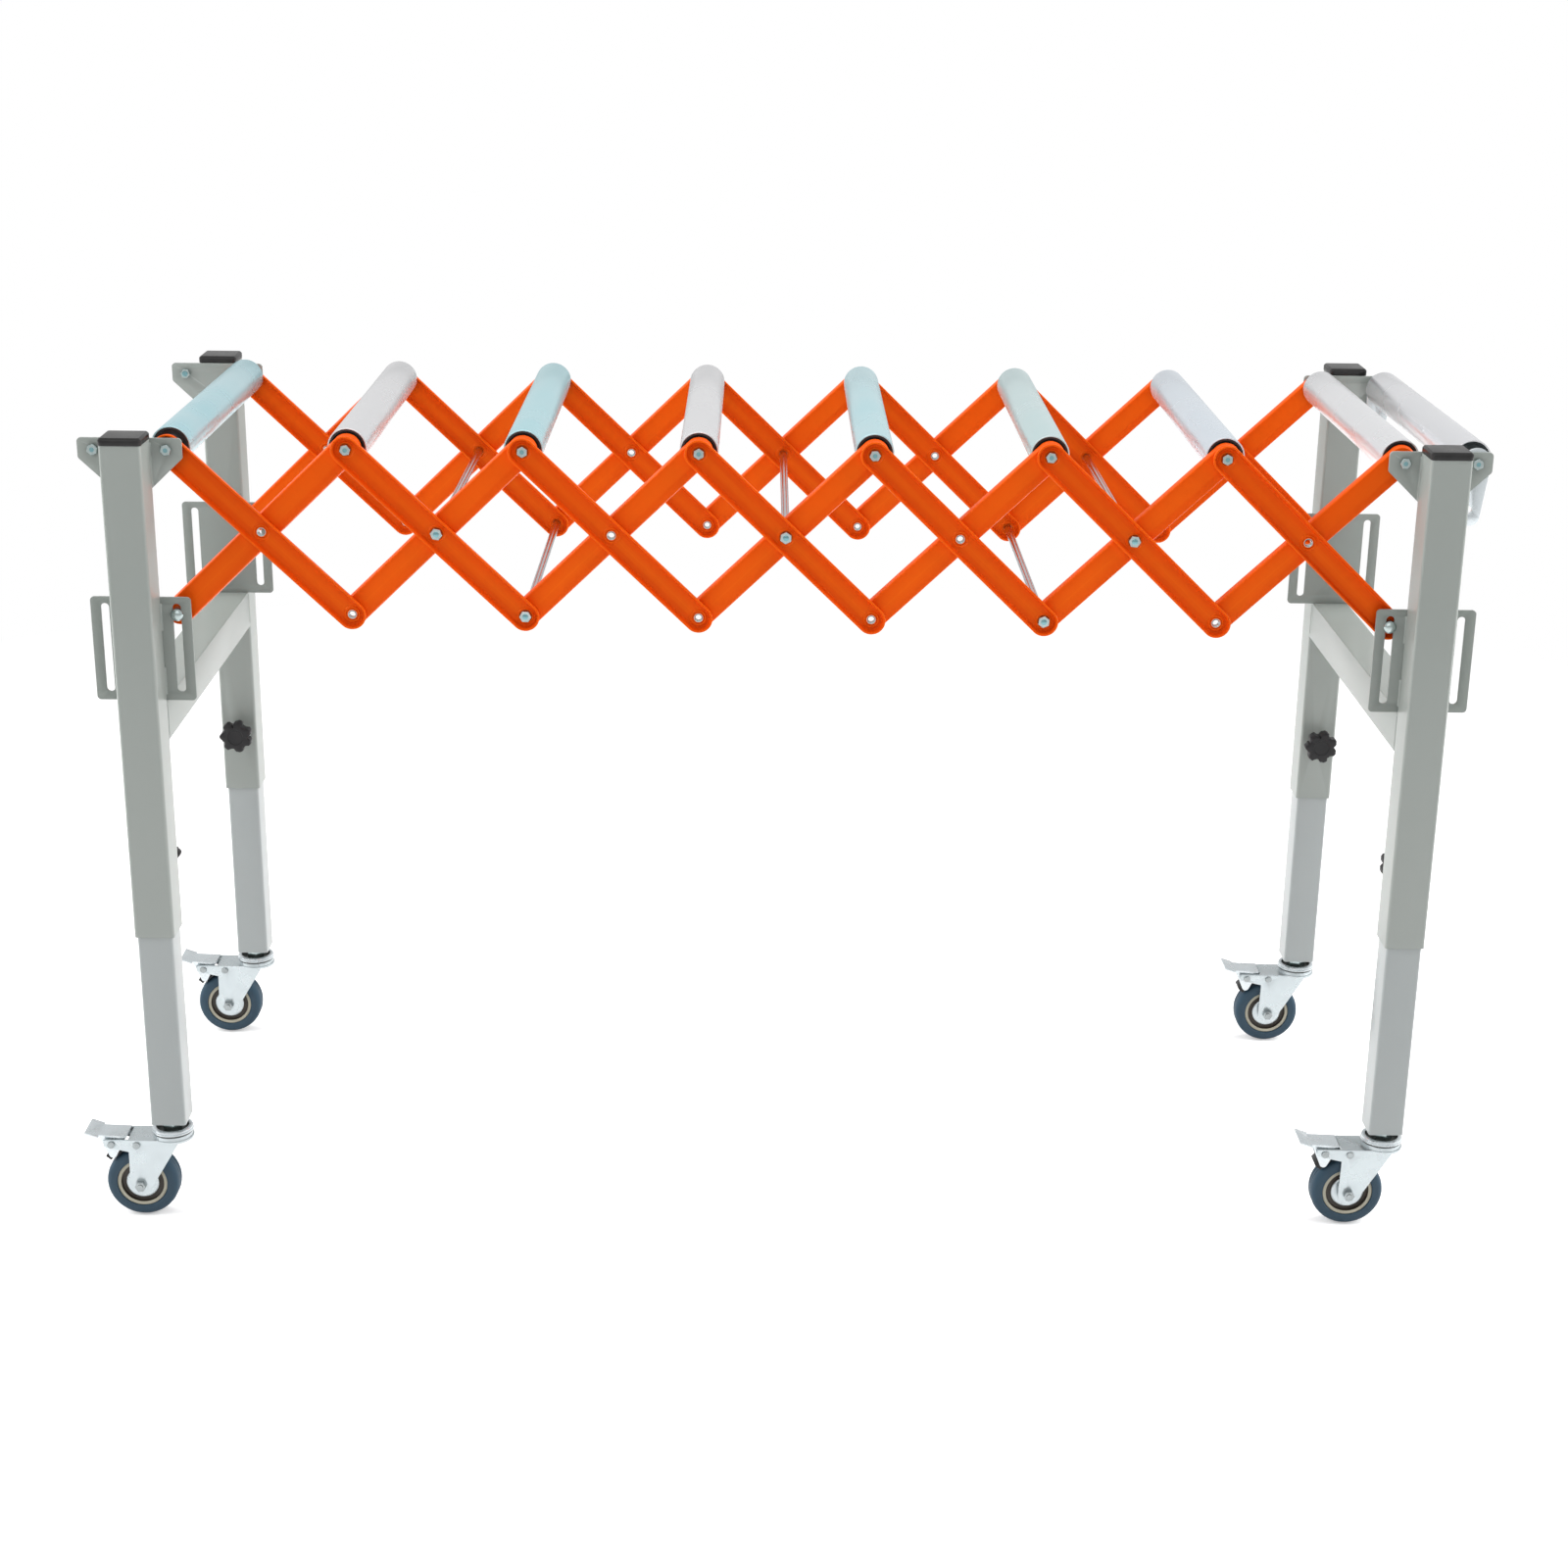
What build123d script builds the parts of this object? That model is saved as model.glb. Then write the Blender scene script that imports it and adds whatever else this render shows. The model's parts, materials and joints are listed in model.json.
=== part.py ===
from build123d import *
from math import asin, cos, degrees, radians, sin, sqrt, tan
import os

# Expandable roller conveyor: nine rollers on a scissor lattice between two end frames on casters.
# X runs along the bed, Y across it and Z up. The origin is on the floor, below the middle of the
# outer box. All lengths are in millimetres.

# Bed, as far open as it stands
bay_count = 7
bar_span = 236.0
roller_pitch = 170.0
pivot_height = 806.0

# Clearances shared by every fit
running_gap = 0.3
layer_gap = 0.4
plate_gap = 0.6
press_gap = 0.05
overrun = 5.0

# Pressed channel bars of the lattice
bar_width = 28.0
bar_depth = 8.0
bar_gauge = 2.0
bar_draft = 6.0

# Bolts, rods and hollow rivets
bolt_diameter = 6.0
bolt_head_flats = 10.0
bolt_head_height = 4.2
bolt_tail = 1.4
spacer_diameter = 12.0
tie_rod_diameter = 8.0
tie_nut_flats = 11.0
rivet_diameter = 8.0
rivet_wall = 1.0
rivet_flare = 1.6
rivet_lip = 1.0

# Rollers
roller_diameter = 38.0
roller_wall = 1.5
housing_depth = 12.0
housing_dish = 2.5
housing_boss_diameter = 15.0

# Square leg tubes and the beam between them
frame_clear_width = 420.0
tube_side = 40.0
tube_wall = 1.8
tube_corner = 3.0
tube_length = 500.0
tube_above_pivot = 11.0
beam_side = 40.0

# Plates welded to the inner face of each leg tube
plate_gauge = 3.0
plate_corner = 4.0
ear_width = 100.0
ear_reach = 35.0
ear_edge = 19.5
ear_height = 50.0
ear_foot_width = 36.0
slot_plate_width = 98.0
slot_plate_height = 105.0
slot_plate_drop = 157.0
slot_width = 8.2
slot_length = 90.0
slot_top_margin = 6.5

# Slot pins
pin_diameter = 7.4
pin_head_diameter = 12.5
pin_head_height = 3.2
pin_dome_share = 0.36
pin_dome_rise_share = 0.72
pin_collar_diameter = 12.0

# Plastic caps on the leg tubes
cap_side = 41.0
cap_height = 7.5
cap_corner = 4.0
cap_edge = 2.0
plug_depth = 12.0

# Telescoping inner legs
slide_clearance = 0.4
leg_wall = 1.6
leg_corner = 2.5
leg_length = 520.0
leg_foot_gauge = 3.0
leg_bottom = 107.0

# Star knobs that clamp the inner legs
knob_height = 70.0
knob_diameter = 38.0
knob_core_diameter = 30.0
knob_lobes = 7
knob_lobe_diameter = 9.5
knob_thickness = 12.0
knob_boss_diameter = 19.0
knob_boss_length = 4.0
knob_edge = 1.5
stud_diameter = 8.0
weld_nut_flats = 13.0
weld_nut_height = 7.0

# Casters
wheel_diameter = 75.0
wheel_width = 25.0
tyre_bore = 52.0
tyre_shoulder = 3.5
tyre_groove_width = 2.0
tyre_groove_depth = 1.5
core_width = 22.0
core_ring_wall = 5.0
core_recess = 4.0
core_disc_diameter = 34.0
caster_trail = 33.0
wheel_clearance = 11.5
fork_gauge = 2.5
fork_width = 35.0
fork_eye_diameter = 22.0
fork_shoulder = 9.0
fork_corner = 8.0
horn_reach = 69.0
horn_start_reach = 43.0
horn_top_reach = 44.0
horn_tip_depth = 7.0
horn_root_depth = 15.5
race_diameter = 43.0
race_height = 4.0
upper_race_height = 6.6
race_dish_diameter = 34.0
race_dish_depth = 5.0
race_edge = 1.2
stem_diameter = 12.0
stem_nut_flats = 19.0
stem_nut_height = 9.0
stem_head_diameter = 20.0
stem_head_height = 2.5
stem_length = 34.0
king_pin_diameter = 11.0
fork_rivet_diameter = 5.0
fork_rivet_head = 1.2
fork_rivet_head_diameter = 7.6
stop_rivet_reach = 35.0
stop_rivet_drop = 5.5
hub_washer_diameter = 13.0
hub_bush_diameter = 12.0

# Brake pedal
pedal_pivot_reach = 61.0
pedal_pivot_drop = 5.0
pedal_gauge = 1.8
pedal_width = 26.0
pedal_start_reach = 46.0
pedal_rise = 1.0
pedal_bend_reach = 74.5
tab_reach = 88.0
tab_rise = 4.5
tab_width = 34.0
pedal_lift = 1.0
lug_radius = 5.0
lug_tip_radius = 4.0
shoe_gap = 2.6
shoe_thickness = 7.0
shoe_start_angle = 120.0
shoe_angle = 20.0

# Coupling hooks on the last axle
hook_gauge = 3.0
hook_eye_diameter = 29.0
hook_length = 62.0
hook_width = 20.0
hook_offset = -2.0
hook_corner = 9.0
hook_throat_width = 8.0
hook_throat_depth = 12.0
hook_throat_drop = 46.0

# Pivots that a tie rod joins across the bed, counted from 1 at the left
tied_middle_pivots = (2, 4, 6)
tied_low_pivots = (3, 6)

# Rims, dishes and rests left by the presses
housing_recess = 0.4
housing_rim = 1.4
weld_depth = 1.0
stud_rest_gap = 0.2

# Places worked out from the sizes above
fold_angle = degrees(asin(sqrt(bar_span**2 - roller_pitch**2) / bar_span))
lattice_drop = sqrt(bar_span**2 - roller_pitch**2)
leg_span = bay_count * roller_pitch + 2 * ear_reach
reach_left = tab_reach
reach_right = ear_reach + roller_diameter / 2
bed_shift = (reach_left - reach_right) / 2
left_x = bed_shift - leg_span / 2
right_x = bed_shift + leg_span / 2
first_pivot_x = left_x + ear_reach
last_pivot_x = right_x - ear_reach
outer_pivot_x = right_x + ear_reach
inner_face = frame_clear_width / 2
tube_centre = inner_face + tube_side / 2
tube_top = pivot_height + tube_above_pivot
tube_bottom = tube_top - tube_length
slot_plate_top = tube_top - slot_plate_drop
slot_plate_bottom = slot_plate_top - slot_plate_height
slot_centre_height = slot_plate_top - slot_top_margin - slot_length / 2
low_pivot_height = pivot_height - lattice_drop
middle_pivot_height = pivot_height - lattice_drop / 2
beam_height = slot_plate_bottom - beam_side / 2
knob_centre_height = tube_bottom + knob_height
leg_side = tube_side - 2 * tube_wall - 2 * slide_clearance

# Layers across the bed, from the outside in: plate, one channel bar, the other, roller
plate_inner = inner_face - plate_gauge
near_falling_back = -plate_inner + plate_gap + bar_depth
near_rising_back = near_falling_back + layer_gap
far_rising_back = plate_inner - plate_gap - bar_depth
far_falling_back = far_rising_back - layer_gap
roller_end = plate_inner - plate_gap - 2 * bar_depth - 2 * layer_gap

near_falling_floor = near_falling_back - bar_gauge
near_rising_floor = near_rising_back + bar_gauge
far_falling_floor = far_falling_back - bar_gauge
far_rising_floor = far_rising_back + bar_gauge
web_stack = 2 * bar_gauge + layer_gap
lattice_centre = (far_falling_back + far_rising_back) / 2

# Holes that turn on their pins with the running gap
axle_radius = bolt_diameter / 2
axle_hole = axle_radius + running_gap
rivet_radius = rivet_diameter / 2
rivet_hole = rivet_radius + running_gap

# Caster heights above the floor
wheel_radius = wheel_diameter / 2
fork_underside = wheel_diameter + wheel_clearance
fork_top = fork_underside + fork_gauge
race_top = fork_top + race_height
upper_race_bottom = race_top + layer_gap
upper_race_top = upper_race_bottom + upper_race_height
pedal_pivot_height = fork_top - pedal_pivot_drop
pedal_under = fork_top + pedal_lift
stop_rivet_height = fork_top - stop_rivet_drop
shoe_radius = wheel_radius + shoe_gap
shoe_middle = radians(shoe_start_angle + shoe_angle / 2)
shoe_centre_x = -caster_trail + (shoe_radius + shoe_thickness / 2) * cos(shoe_middle)
shoe_centre_height = wheel_radius + (shoe_radius + shoe_thickness / 2) * sin(shoe_middle)

os.makedirs("parts", exist_ok=True)


def save(node, name):
    """Label one finished node and write it out."""
    node.label = name
    export_step(node, f"parts/{name}.step")


def pivot_x(number):
    """Place along the bed of a top or bottom pivot, counted from 1 at the left."""
    return first_pivot_x + (number - 1) * roller_pitch


def middle_x(number):
    """Place along the bed of a middle pivot, where the two bars of one bay cross."""
    return pivot_x(number) + roller_pitch / 2


def place(piece, *spots):
    """One node that holds the same piece at each of the given locations."""
    with BuildPart() as node:
        with Locations(*spots):
            add(piece)
    return node.part


def join(*pieces):
    """One node that holds several finished pieces."""
    with BuildPart() as node:
        for piece in pieces:
            add(piece)
    return node.part


def ring(outer, start, end, inner=0):
    """A round bar or sleeve that lies across the bed from one Y to another."""
    with BuildPart() as sleeve:
        with BuildSketch(Plane.XZ.offset(-start)):
            Circle(outer)
            if inner:
                Circle(inner, mode=Mode.SUBTRACT)
        extrude(amount=start - end)
    return sleeve.part


def hexagon(flats, start, end):
    """A hexagonal head or nut that lies across the bed from one Y to another."""
    with BuildPart() as head:
        with BuildSketch(Plane.XZ.offset(-start)):
            RegularPolygon(flats / 2, 6, major_radius=False)
        extrude(amount=start - end)
    return head.part


def bolt(head_end, nut_start, flats, radius):
    """A bolt across the bed: its head ends at one Y and its nut starts at the other."""
    nut_end = nut_start + bolt_head_height
    shank = ring(radius, head_end - bolt_head_height / 2, nut_end + bolt_tail)
    head = hexagon(flats, head_end - bolt_head_height, head_end)
    nut = hexagon(flats, nut_start, nut_end)
    return join(shank, head, nut)


# Channel bar: a pressed trough with rounded ends, pivots on X and its flat back on Y zero.
# The hole at the left end takes a roller axle, the others a hollow rivet or a tie rod.
with BuildPart() as channel_bar:
    draft_share = tan(radians(bar_draft))
    back_half = bar_width / 2 - bar_depth * draft_share
    floor_half = back_half - (bar_gauge / cos(radians(bar_draft)) - bar_gauge * draft_share)
    with BuildSketch(Plane.XZ):
        SlotCenterToCenter(bar_span, 2 * back_half)
    extrude(amount=bar_depth, taper=-bar_draft)
    with BuildSketch(Plane.XZ.offset(bar_gauge)):
        SlotCenterToCenter(bar_span, 2 * floor_half)
    extrude(amount=bar_depth, taper=-bar_draft, mode=Mode.SUBTRACT)
    with BuildSketch(Plane.XZ):
        with Locations((-bar_span / 2, 0)):
            Circle(axle_hole)
        with Locations((0, 0), (bar_span / 2, 0)):
            Circle(rivet_hole)
    extrude(amount=bar_gauge, mode=Mode.SUBTRACT)

for bay in range(1, bay_count + 1):
    falling_spots = [
        Location((middle_x(bay), back, middle_pivot_height), (0, fold_angle, 0))
        for back in (near_falling_back, far_falling_back)
    ]
    rising_spots = [
        Location((middle_x(bay), back, middle_pivot_height), (0, -fold_angle, 180))
        for back in (near_rising_back, far_rising_back)
    ]
    falling_bars = place(channel_bar.part, *falling_spots)
    rising_bars = place(channel_bar.part, *rising_spots)
    save(falling_bars, f"falling_bars_{bay}")
    if bay > 1:
        save(rising_bars, f"rising_bars_{bay}")



# Roller: a steel tube with a dished plastic housing pressed into each end
with BuildPart() as roller_tube:
    with BuildSketch(Plane.XZ.offset(roller_end)):
        Circle(roller_diameter / 2)
        Circle(roller_diameter / 2 - roller_wall, mode=Mode.SUBTRACT)
    extrude(amount=-2 * roller_end)

with BuildPart() as roller_housings:
    housing_radius = roller_diameter / 2 - roller_wall - press_gap
    housing_face = roller_end - housing_recess
    with BuildSketch(Plane.XY):
        with BuildLine():
            Polyline(
                (axle_hole, housing_face - housing_dish),
                (housing_radius - housing_rim, housing_face),
                (housing_radius, housing_face),
                (housing_radius, housing_face - housing_depth),
                (axle_hole, housing_face - housing_depth),
                close=True,
            )
        make_face()
    revolve(axis=Axis.Y)
    mirror(about=Plane.XZ)

roller = join(roller_tube.part, roller_housings.part)
roller_count = bay_count + 2
for number in range(1, roller_count + 1):
    x = outer_pivot_x if number == roller_count else pivot_x(number)
    save(place(roller, (x, 0, pivot_height)), f"roller_{number}")

# Hollow rivet about Y zero: one lip lies in the falling bar's trough, the other in the rising one's
with BuildPart() as eyelet:
    fixed_seat = web_stack / 2 + press_gap
    loose_seat = web_stack / 2 + running_gap
    with BuildSketch(Plane.XY):
        with BuildLine():
            Polyline(
                (rivet_radius - rivet_wall, -fixed_seat - rivet_lip),
                (rivet_radius + rivet_flare, -fixed_seat - rivet_lip),
                (rivet_radius + rivet_flare, -fixed_seat),
                (rivet_radius, -fixed_seat),
                (rivet_radius, loose_seat),
                (rivet_radius + rivet_flare, loose_seat),
                (rivet_radius + rivet_flare, loose_seat + rivet_lip),
                (rivet_radius - rivet_wall, loose_seat + rivet_lip),
                close=True,
            )
        make_face()
    revolve(axis=Axis.Y)

near_nut_seat = near_falling_floor - press_gap
far_nut_seat = far_rising_floor + running_gap
tie_rod = bolt(near_nut_seat, far_nut_seat, tie_nut_flats, rivet_radius)
roller_axle = bolt(near_nut_seat, far_nut_seat, bolt_head_flats, axle_radius)


def rivet_pair(x, z):
    """A hollow rivet in the near lattice and one in the far lattice, at one pivot."""
    return place(eyelet.part, (x, -lattice_centre, z), (x, lattice_centre, z))


def slot_pin(web_face, web_thickness):
    """A slot pin from the near slot plate's inner face at Y zero to a bar's web, with its nut."""
    with BuildPart() as head:
        with BuildSketch(Plane.XY):
            with BuildLine():
                head_start = -plate_gauge - running_gap
                Line((0, head_start), (0, head_start - pin_head_height))
                ThreePointArc(
                    (0, head_start - pin_head_height),
                    (pin_head_diameter * pin_dome_share, head_start - pin_head_height * pin_dome_rise_share),
                    (pin_head_diameter / 2, head_start),
                )
                Line((pin_head_diameter / 2, head_start), (0, head_start))
            make_face()
        revolve(axis=Axis.Y)
    nut_start = web_face + web_thickness + press_gap
    shank = ring(pin_diameter / 2, head_start, nut_start + bolt_head_height + bolt_tail)
    collar = ring(pin_collar_diameter / 2, running_gap, web_face - press_gap)
    nut = hexagon(bolt_head_flats, nut_start, nut_start + bolt_head_height)
    return join(head.part, shank, collar, nut)


slot_pin_to_back = slot_pin(near_rising_back + plate_inner, bar_gauge)
slot_pin_to_floor = slot_pin(near_falling_floor + plate_inner, bar_gauge)

for bay in range(1, bay_count + 1):
    pieces = []
    if bay > 1:
        pieces.append(place(roller_axle, (pivot_x(bay), 0, pivot_height)))
    if bay in tied_middle_pivots:
        pieces.append(place(tie_rod, (middle_x(bay), 0, middle_pivot_height)))
    else:
        pieces.append(rivet_pair(middle_x(bay), middle_pivot_height))
    if bay == bay_count:
        pieces.append(place(slot_pin_to_floor, (last_pivot_x, -plate_inner, low_pivot_height)))
        far_pin_spot = Location((last_pivot_x, plate_inner, low_pivot_height), (0, 0, 180))
        pieces.append(place(slot_pin_to_back, far_pin_spot))
    elif bay + 1 in tied_low_pivots:
        pieces.append(place(tie_rod, (pivot_x(bay + 1), 0, low_pivot_height)))
    else:
        pieces.append(rivet_pair(pivot_x(bay + 1), low_pivot_height))
    save(join(*pieces), f"pivot_set_{bay}")

# The first rising bars carry the left slot pins, in place of a top pivot at their low end
left_near_pin = place(slot_pin_to_back, (first_pivot_x, -plate_inner, low_pivot_height))
left_far_pin_spot = Location((first_pivot_x, plate_inner, low_pivot_height), (0, 0, 180))
left_far_pin = place(slot_pin_to_floor, left_far_pin_spot)
first_rising_spots = [
    Location((middle_x(1), back, middle_pivot_height), (0, -fold_angle, 180))
    for back in (near_rising_back, far_rising_back)
]
save(join(place(channel_bar.part, *first_rising_spots), left_near_pin, left_far_pin), "rising_bars_1")

# Axles that the end frames hold, with spacers where one layer of bars is missing
frame_axle = bolt(-inner_face - press_gap, inner_face + press_gap, bolt_head_flats, axle_radius)
spacer_radius = spacer_diameter / 2
spacer_bore = axle_radius + press_gap
roller_clear = roller_end + running_gap
plate_clear = plate_inner - running_gap
hook_clear = plate_inner - layer_gap - hook_gauge - running_gap
first_spacers = join(
    ring(spacer_radius, near_falling_back + running_gap, -roller_clear, spacer_bore),
    ring(spacer_radius, far_falling_back + running_gap, plate_clear, spacer_bore),
)
eighth_spacers = join(
    ring(spacer_radius, -plate_clear, near_rising_back - running_gap, spacer_bore),
    ring(spacer_radius, roller_clear, far_rising_back - running_gap, spacer_bore),
)
ninth_spacers = join(
    ring(spacer_radius, -hook_clear, -roller_clear, spacer_bore),
    ring(spacer_radius, roller_clear, hook_clear, spacer_bore),
)

# Spare bolt of an outer ear: its head is on the tube's side of the plate, its nut on the other
spare_bolt = bolt(-plate_gauge / 2 - press_gap, plate_gauge / 2 + press_gap, bolt_head_flats, axle_radius)
spare_x = left_x - ear_reach
spare_y = inner_face - plate_gauge / 2
left_axle_set = join(
    place(frame_axle, (first_pivot_x, 0, pivot_height)),
    place(first_spacers, (first_pivot_x, 0, pivot_height)),
    place(spare_bolt, (spare_x, -spare_y, pivot_height)),
    place(spare_bolt, Location((spare_x, spare_y, pivot_height), (0, 0, 180))),
)
right_axle_set = join(
    place(frame_axle, (last_pivot_x, 0, pivot_height), (outer_pivot_x, 0, pivot_height)),
    place(eighth_spacers, (last_pivot_x, 0, pivot_height)),
    place(ninth_spacers, (outer_pivot_x, 0, pivot_height)),
)
save(left_axle_set, "left_axle_set")
save(right_axle_set, "right_axle_set")

# End frame: two square tubes, the beam welded between them and an ear plate on each tube
with BuildPart() as end_frame:
    tube_centres = [(0, -tube_centre), (0, tube_centre)]
    with BuildSketch(Plane.XY.offset(tube_bottom)):
        with Locations(*tube_centres):
            RectangleRounded(tube_side, tube_side, tube_corner)
    extrude(amount=tube_length)
    with BuildSketch(Plane.XZ.offset(-inner_face)):
        with BuildLine():
            Polyline(
                (-ear_width / 2, tube_top),
                (ear_width / 2, tube_top),
                (ear_width / 2, tube_top - ear_edge),
                (ear_foot_width / 2, tube_top - ear_height),
                (-ear_foot_width / 2, tube_top - ear_height),
                (-ear_width / 2, tube_top - ear_edge),
                close=True,
            )
        ear_outline = make_face()
        fillet(ear_outline.vertices().group_by(Axis.Z)[-1], radius=plate_corner)
        with Locations((-ear_reach, pivot_height), (ear_reach, pivot_height)):
            Circle(axle_hole, mode=Mode.SUBTRACT)
    extrude(amount=plate_gauge)
    mirror(about=Plane.XZ)
    with BuildSketch(Plane.XZ.offset(inner_face + weld_depth)):
        with Locations((0, beam_height)):
            Rectangle(beam_side, beam_side)
    extrude(amount=-2 * (inner_face + weld_depth))
    with BuildSketch(Plane.XZ.offset(inner_face + weld_depth)):
        with Locations((0, beam_height)):
            Rectangle(beam_side - 2 * tube_wall, beam_side - 2 * tube_wall)
    extrude(amount=-2 * (inner_face + weld_depth), mode=Mode.SUBTRACT)
    with BuildSketch(Plane.XZ.offset(-inner_face)):
        with Locations((0, knob_centre_height)):
            RegularPolygon(weld_nut_flats / 2, 6, major_radius=False)
    extrude(amount=weld_nut_height)
    with BuildSketch(Plane.XZ.offset(inner_face)):
        with Locations((0, knob_centre_height)):
            RegularPolygon(weld_nut_flats / 2, 6, major_radius=False)
    extrude(amount=-weld_nut_height)
    with BuildSketch(Plane.XY.offset(tube_bottom)):
        with Locations(*tube_centres):
            RectangleRounded(tube_side - 2 * tube_wall, tube_side - 2 * tube_wall, tube_corner - tube_wall)
    extrude(amount=tube_length, mode=Mode.SUBTRACT)
    with BuildSketch(Plane.XZ.offset(inner_face + tube_wall + overrun)):
        with Locations((0, knob_centre_height)):
            Circle(stud_diameter / 2 + running_gap)
    extrude(amount=-2 * (inner_face + tube_wall + overrun), mode=Mode.SUBTRACT)
save(place(end_frame.part, (left_x, 0, 0)), "left_frame")
save(place(end_frame.part, (right_x, 0, 0)), "right_frame")

# Slot plates on the inner faces of the tubes
with BuildPart() as slot_plates:
    with BuildSketch(Plane.XZ.offset(-inner_face)):
        with Locations((0, slot_plate_top - slot_plate_height / 2)):
            RectangleRounded(slot_plate_width, slot_plate_height, plate_corner)
        with Locations((-ear_reach, slot_centre_height), (ear_reach, slot_centre_height)):
            SlotOverall(slot_length, slot_width, rotation=90, mode=Mode.SUBTRACT)
    extrude(amount=plate_gauge)
    mirror(about=Plane.XZ)
save(place(slot_plates.part, (left_x, 0, 0)), "left_slot_plates")
save(place(slot_plates.part, (right_x, 0, 0)), "right_slot_plates")

# Plastic cap with bevelled edges and a plug that sits inside the tube
with BuildPart() as cap:
    with BuildSketch(Plane.XY.offset(tube_top)):
        RectangleRounded(cap_side, cap_side, cap_corner)
    extrude(amount=cap_height)
    chamfer(cap.faces().sort_by(Axis.Z)[-1].edges(), length=cap_edge)
    plug_side = tube_side - 2 * tube_wall - 2 * press_gap
    with BuildSketch(Plane.XY.offset(tube_top)):
        RectangleRounded(plug_side, plug_side, tube_corner - tube_wall)
    extrude(amount=-plug_depth)
for side, frame_x in (("left", left_x), ("right", right_x)):
    caps = place(cap.part, (frame_x, -tube_centre, 0), (frame_x, tube_centre, 0))
    save(caps, f"{side}_caps")

# Star knob about the stud's line, with Y zero on the tube's inner face
with BuildPart() as knob:
    stud_tip = leg_side / 2 - tube_side / 2 + stud_rest_gap
    boss_start = weld_nut_height + 2 * running_gap
    head_start = boss_start + knob_boss_length
    with BuildSketch(Plane.XZ.offset(-stud_tip)):
        Circle(stud_diameter / 2)
    extrude(amount=stud_tip - head_start)
    with BuildSketch(Plane.XZ.offset(-boss_start)):
        Circle(knob_boss_diameter / 2)
    extrude(amount=-knob_boss_length)
    with BuildSketch(Plane.XZ.offset(-head_start)):
        Circle(knob_core_diameter / 2)
        with PolarLocations(knob_diameter / 2 - knob_lobe_diameter / 2, knob_lobes):
            Circle(knob_lobe_diameter / 2)
    extrude(amount=-knob_thickness)
    chamfer(knob.faces().sort_by(Axis.Y)[-1].edges(), length=knob_edge)

# Inner leg, with the caster's stem and fixed race below its foot plate
with BuildPart() as leg_tube:
    with BuildSketch(Plane.XY.offset(leg_bottom)):
        RectangleRounded(leg_side, leg_side, leg_corner)
    extrude(amount=leg_length)
    with BuildSketch(Plane.XY.offset(leg_bottom + leg_foot_gauge)):
        RectangleRounded(leg_side - 2 * leg_wall, leg_side - 2 * leg_wall, leg_corner - leg_wall)
    extrude(amount=leg_length, mode=Mode.SUBTRACT)
    with BuildSketch(Plane.XY.offset(leg_bottom)):
        Circle(stem_diameter / 2 + press_gap)
    extrude(amount=leg_foot_gauge, mode=Mode.SUBTRACT)

with BuildPart() as stem:
    with BuildSketch(Plane.XY.offset(upper_race_bottom)):
        Circle(race_diameter / 2)
    extrude(amount=upper_race_height)
    chamfer(stem.faces().sort_by(Axis.Z)[-1].edges(), length=race_edge)
    with BuildSketch(Plane.XY.offset(upper_race_top)):
        Circle(race_dish_diameter / 2)
    extrude(amount=-race_dish_depth, mode=Mode.SUBTRACT)
    with BuildSketch(Plane.XY.offset(upper_race_top - race_dish_depth)):
        RegularPolygon(stem_nut_flats / 2, 6, major_radius=False)
    extrude(amount=leg_bottom - press_gap - upper_race_top + race_dish_depth)
    with BuildSketch(Plane.XY.offset(upper_race_top - race_dish_depth)):
        Circle(stem_diameter / 2)
    extrude(amount=stem_length)
    with BuildSketch(Plane.XY.offset(upper_race_bottom)):
        Circle(king_pin_diameter / 2)
    extrude(amount=fork_underside - running_gap - upper_race_bottom)
    with BuildSketch(Plane.XY.offset(fork_underside - running_gap)):
        Circle(stem_head_diameter / 2)
    extrude(amount=-stem_head_height)

# Caster fork: a pressed plate with two cheeks, its trailing horn and the turning lower race
with BuildPart() as fork:
    inner_half = fork_width / 2 - fork_gauge
    with BuildSketch(Plane.XY.offset(fork_underside)):
        Circle(race_diameter / 2)
        with BuildLine():
            Polyline(
                (0, -fork_width / 2),
                (-horn_top_reach, -fork_width / 2),
                (-horn_top_reach, fork_width / 2),
                (0, fork_width / 2),
                close=True,
            )
        make_face()
    extrude(amount=fork_gauge)
    with BuildSketch(Plane.XY.offset(fork_top)):
        Circle(race_diameter / 2 - race_edge)
    extrude(amount=race_height)
    with BuildSketch(Plane.XZ.offset(fork_width / 2)):
        with BuildLine():
            Polyline(
                (-horn_start_reach, fork_top),
                (fork_shoulder, fork_top),
                (fork_shoulder, fork_underside),
            )
        with Locations((-caster_trail, wheel_radius)):
            Circle(fork_eye_diameter / 2)
        make_hull()
        with BuildLine():
            Polyline(
                (-caster_trail, fork_top),
                (-horn_reach, fork_top),
                (-horn_reach, fork_top - horn_tip_depth),
                (-caster_trail, fork_top - horn_root_depth),
                close=True,
            )
        cheek = make_face()
        armpit = cheek.vertices().sort_by_distance((-horn_start_reach, fork_top - horn_root_depth))[0]
        fillet(armpit, radius=fork_corner)
        with Locations((-caster_trail, wheel_radius)):
            Circle(axle_radius + press_gap, mode=Mode.SUBTRACT)
        with Locations(
            (-pedal_pivot_reach, pedal_pivot_height),
            (-stop_rivet_reach, stop_rivet_height),
        ):
            Circle(fork_rivet_diameter / 2 + press_gap, mode=Mode.SUBTRACT)
    extrude(amount=-fork_gauge)
    mirror(about=Plane.XZ)
    with BuildSketch(Plane.XY.offset(fork_underside)):
        Circle(king_pin_diameter / 2 + running_gap)
    extrude(amount=fork_gauge + race_height, mode=Mode.SUBTRACT)

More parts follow.
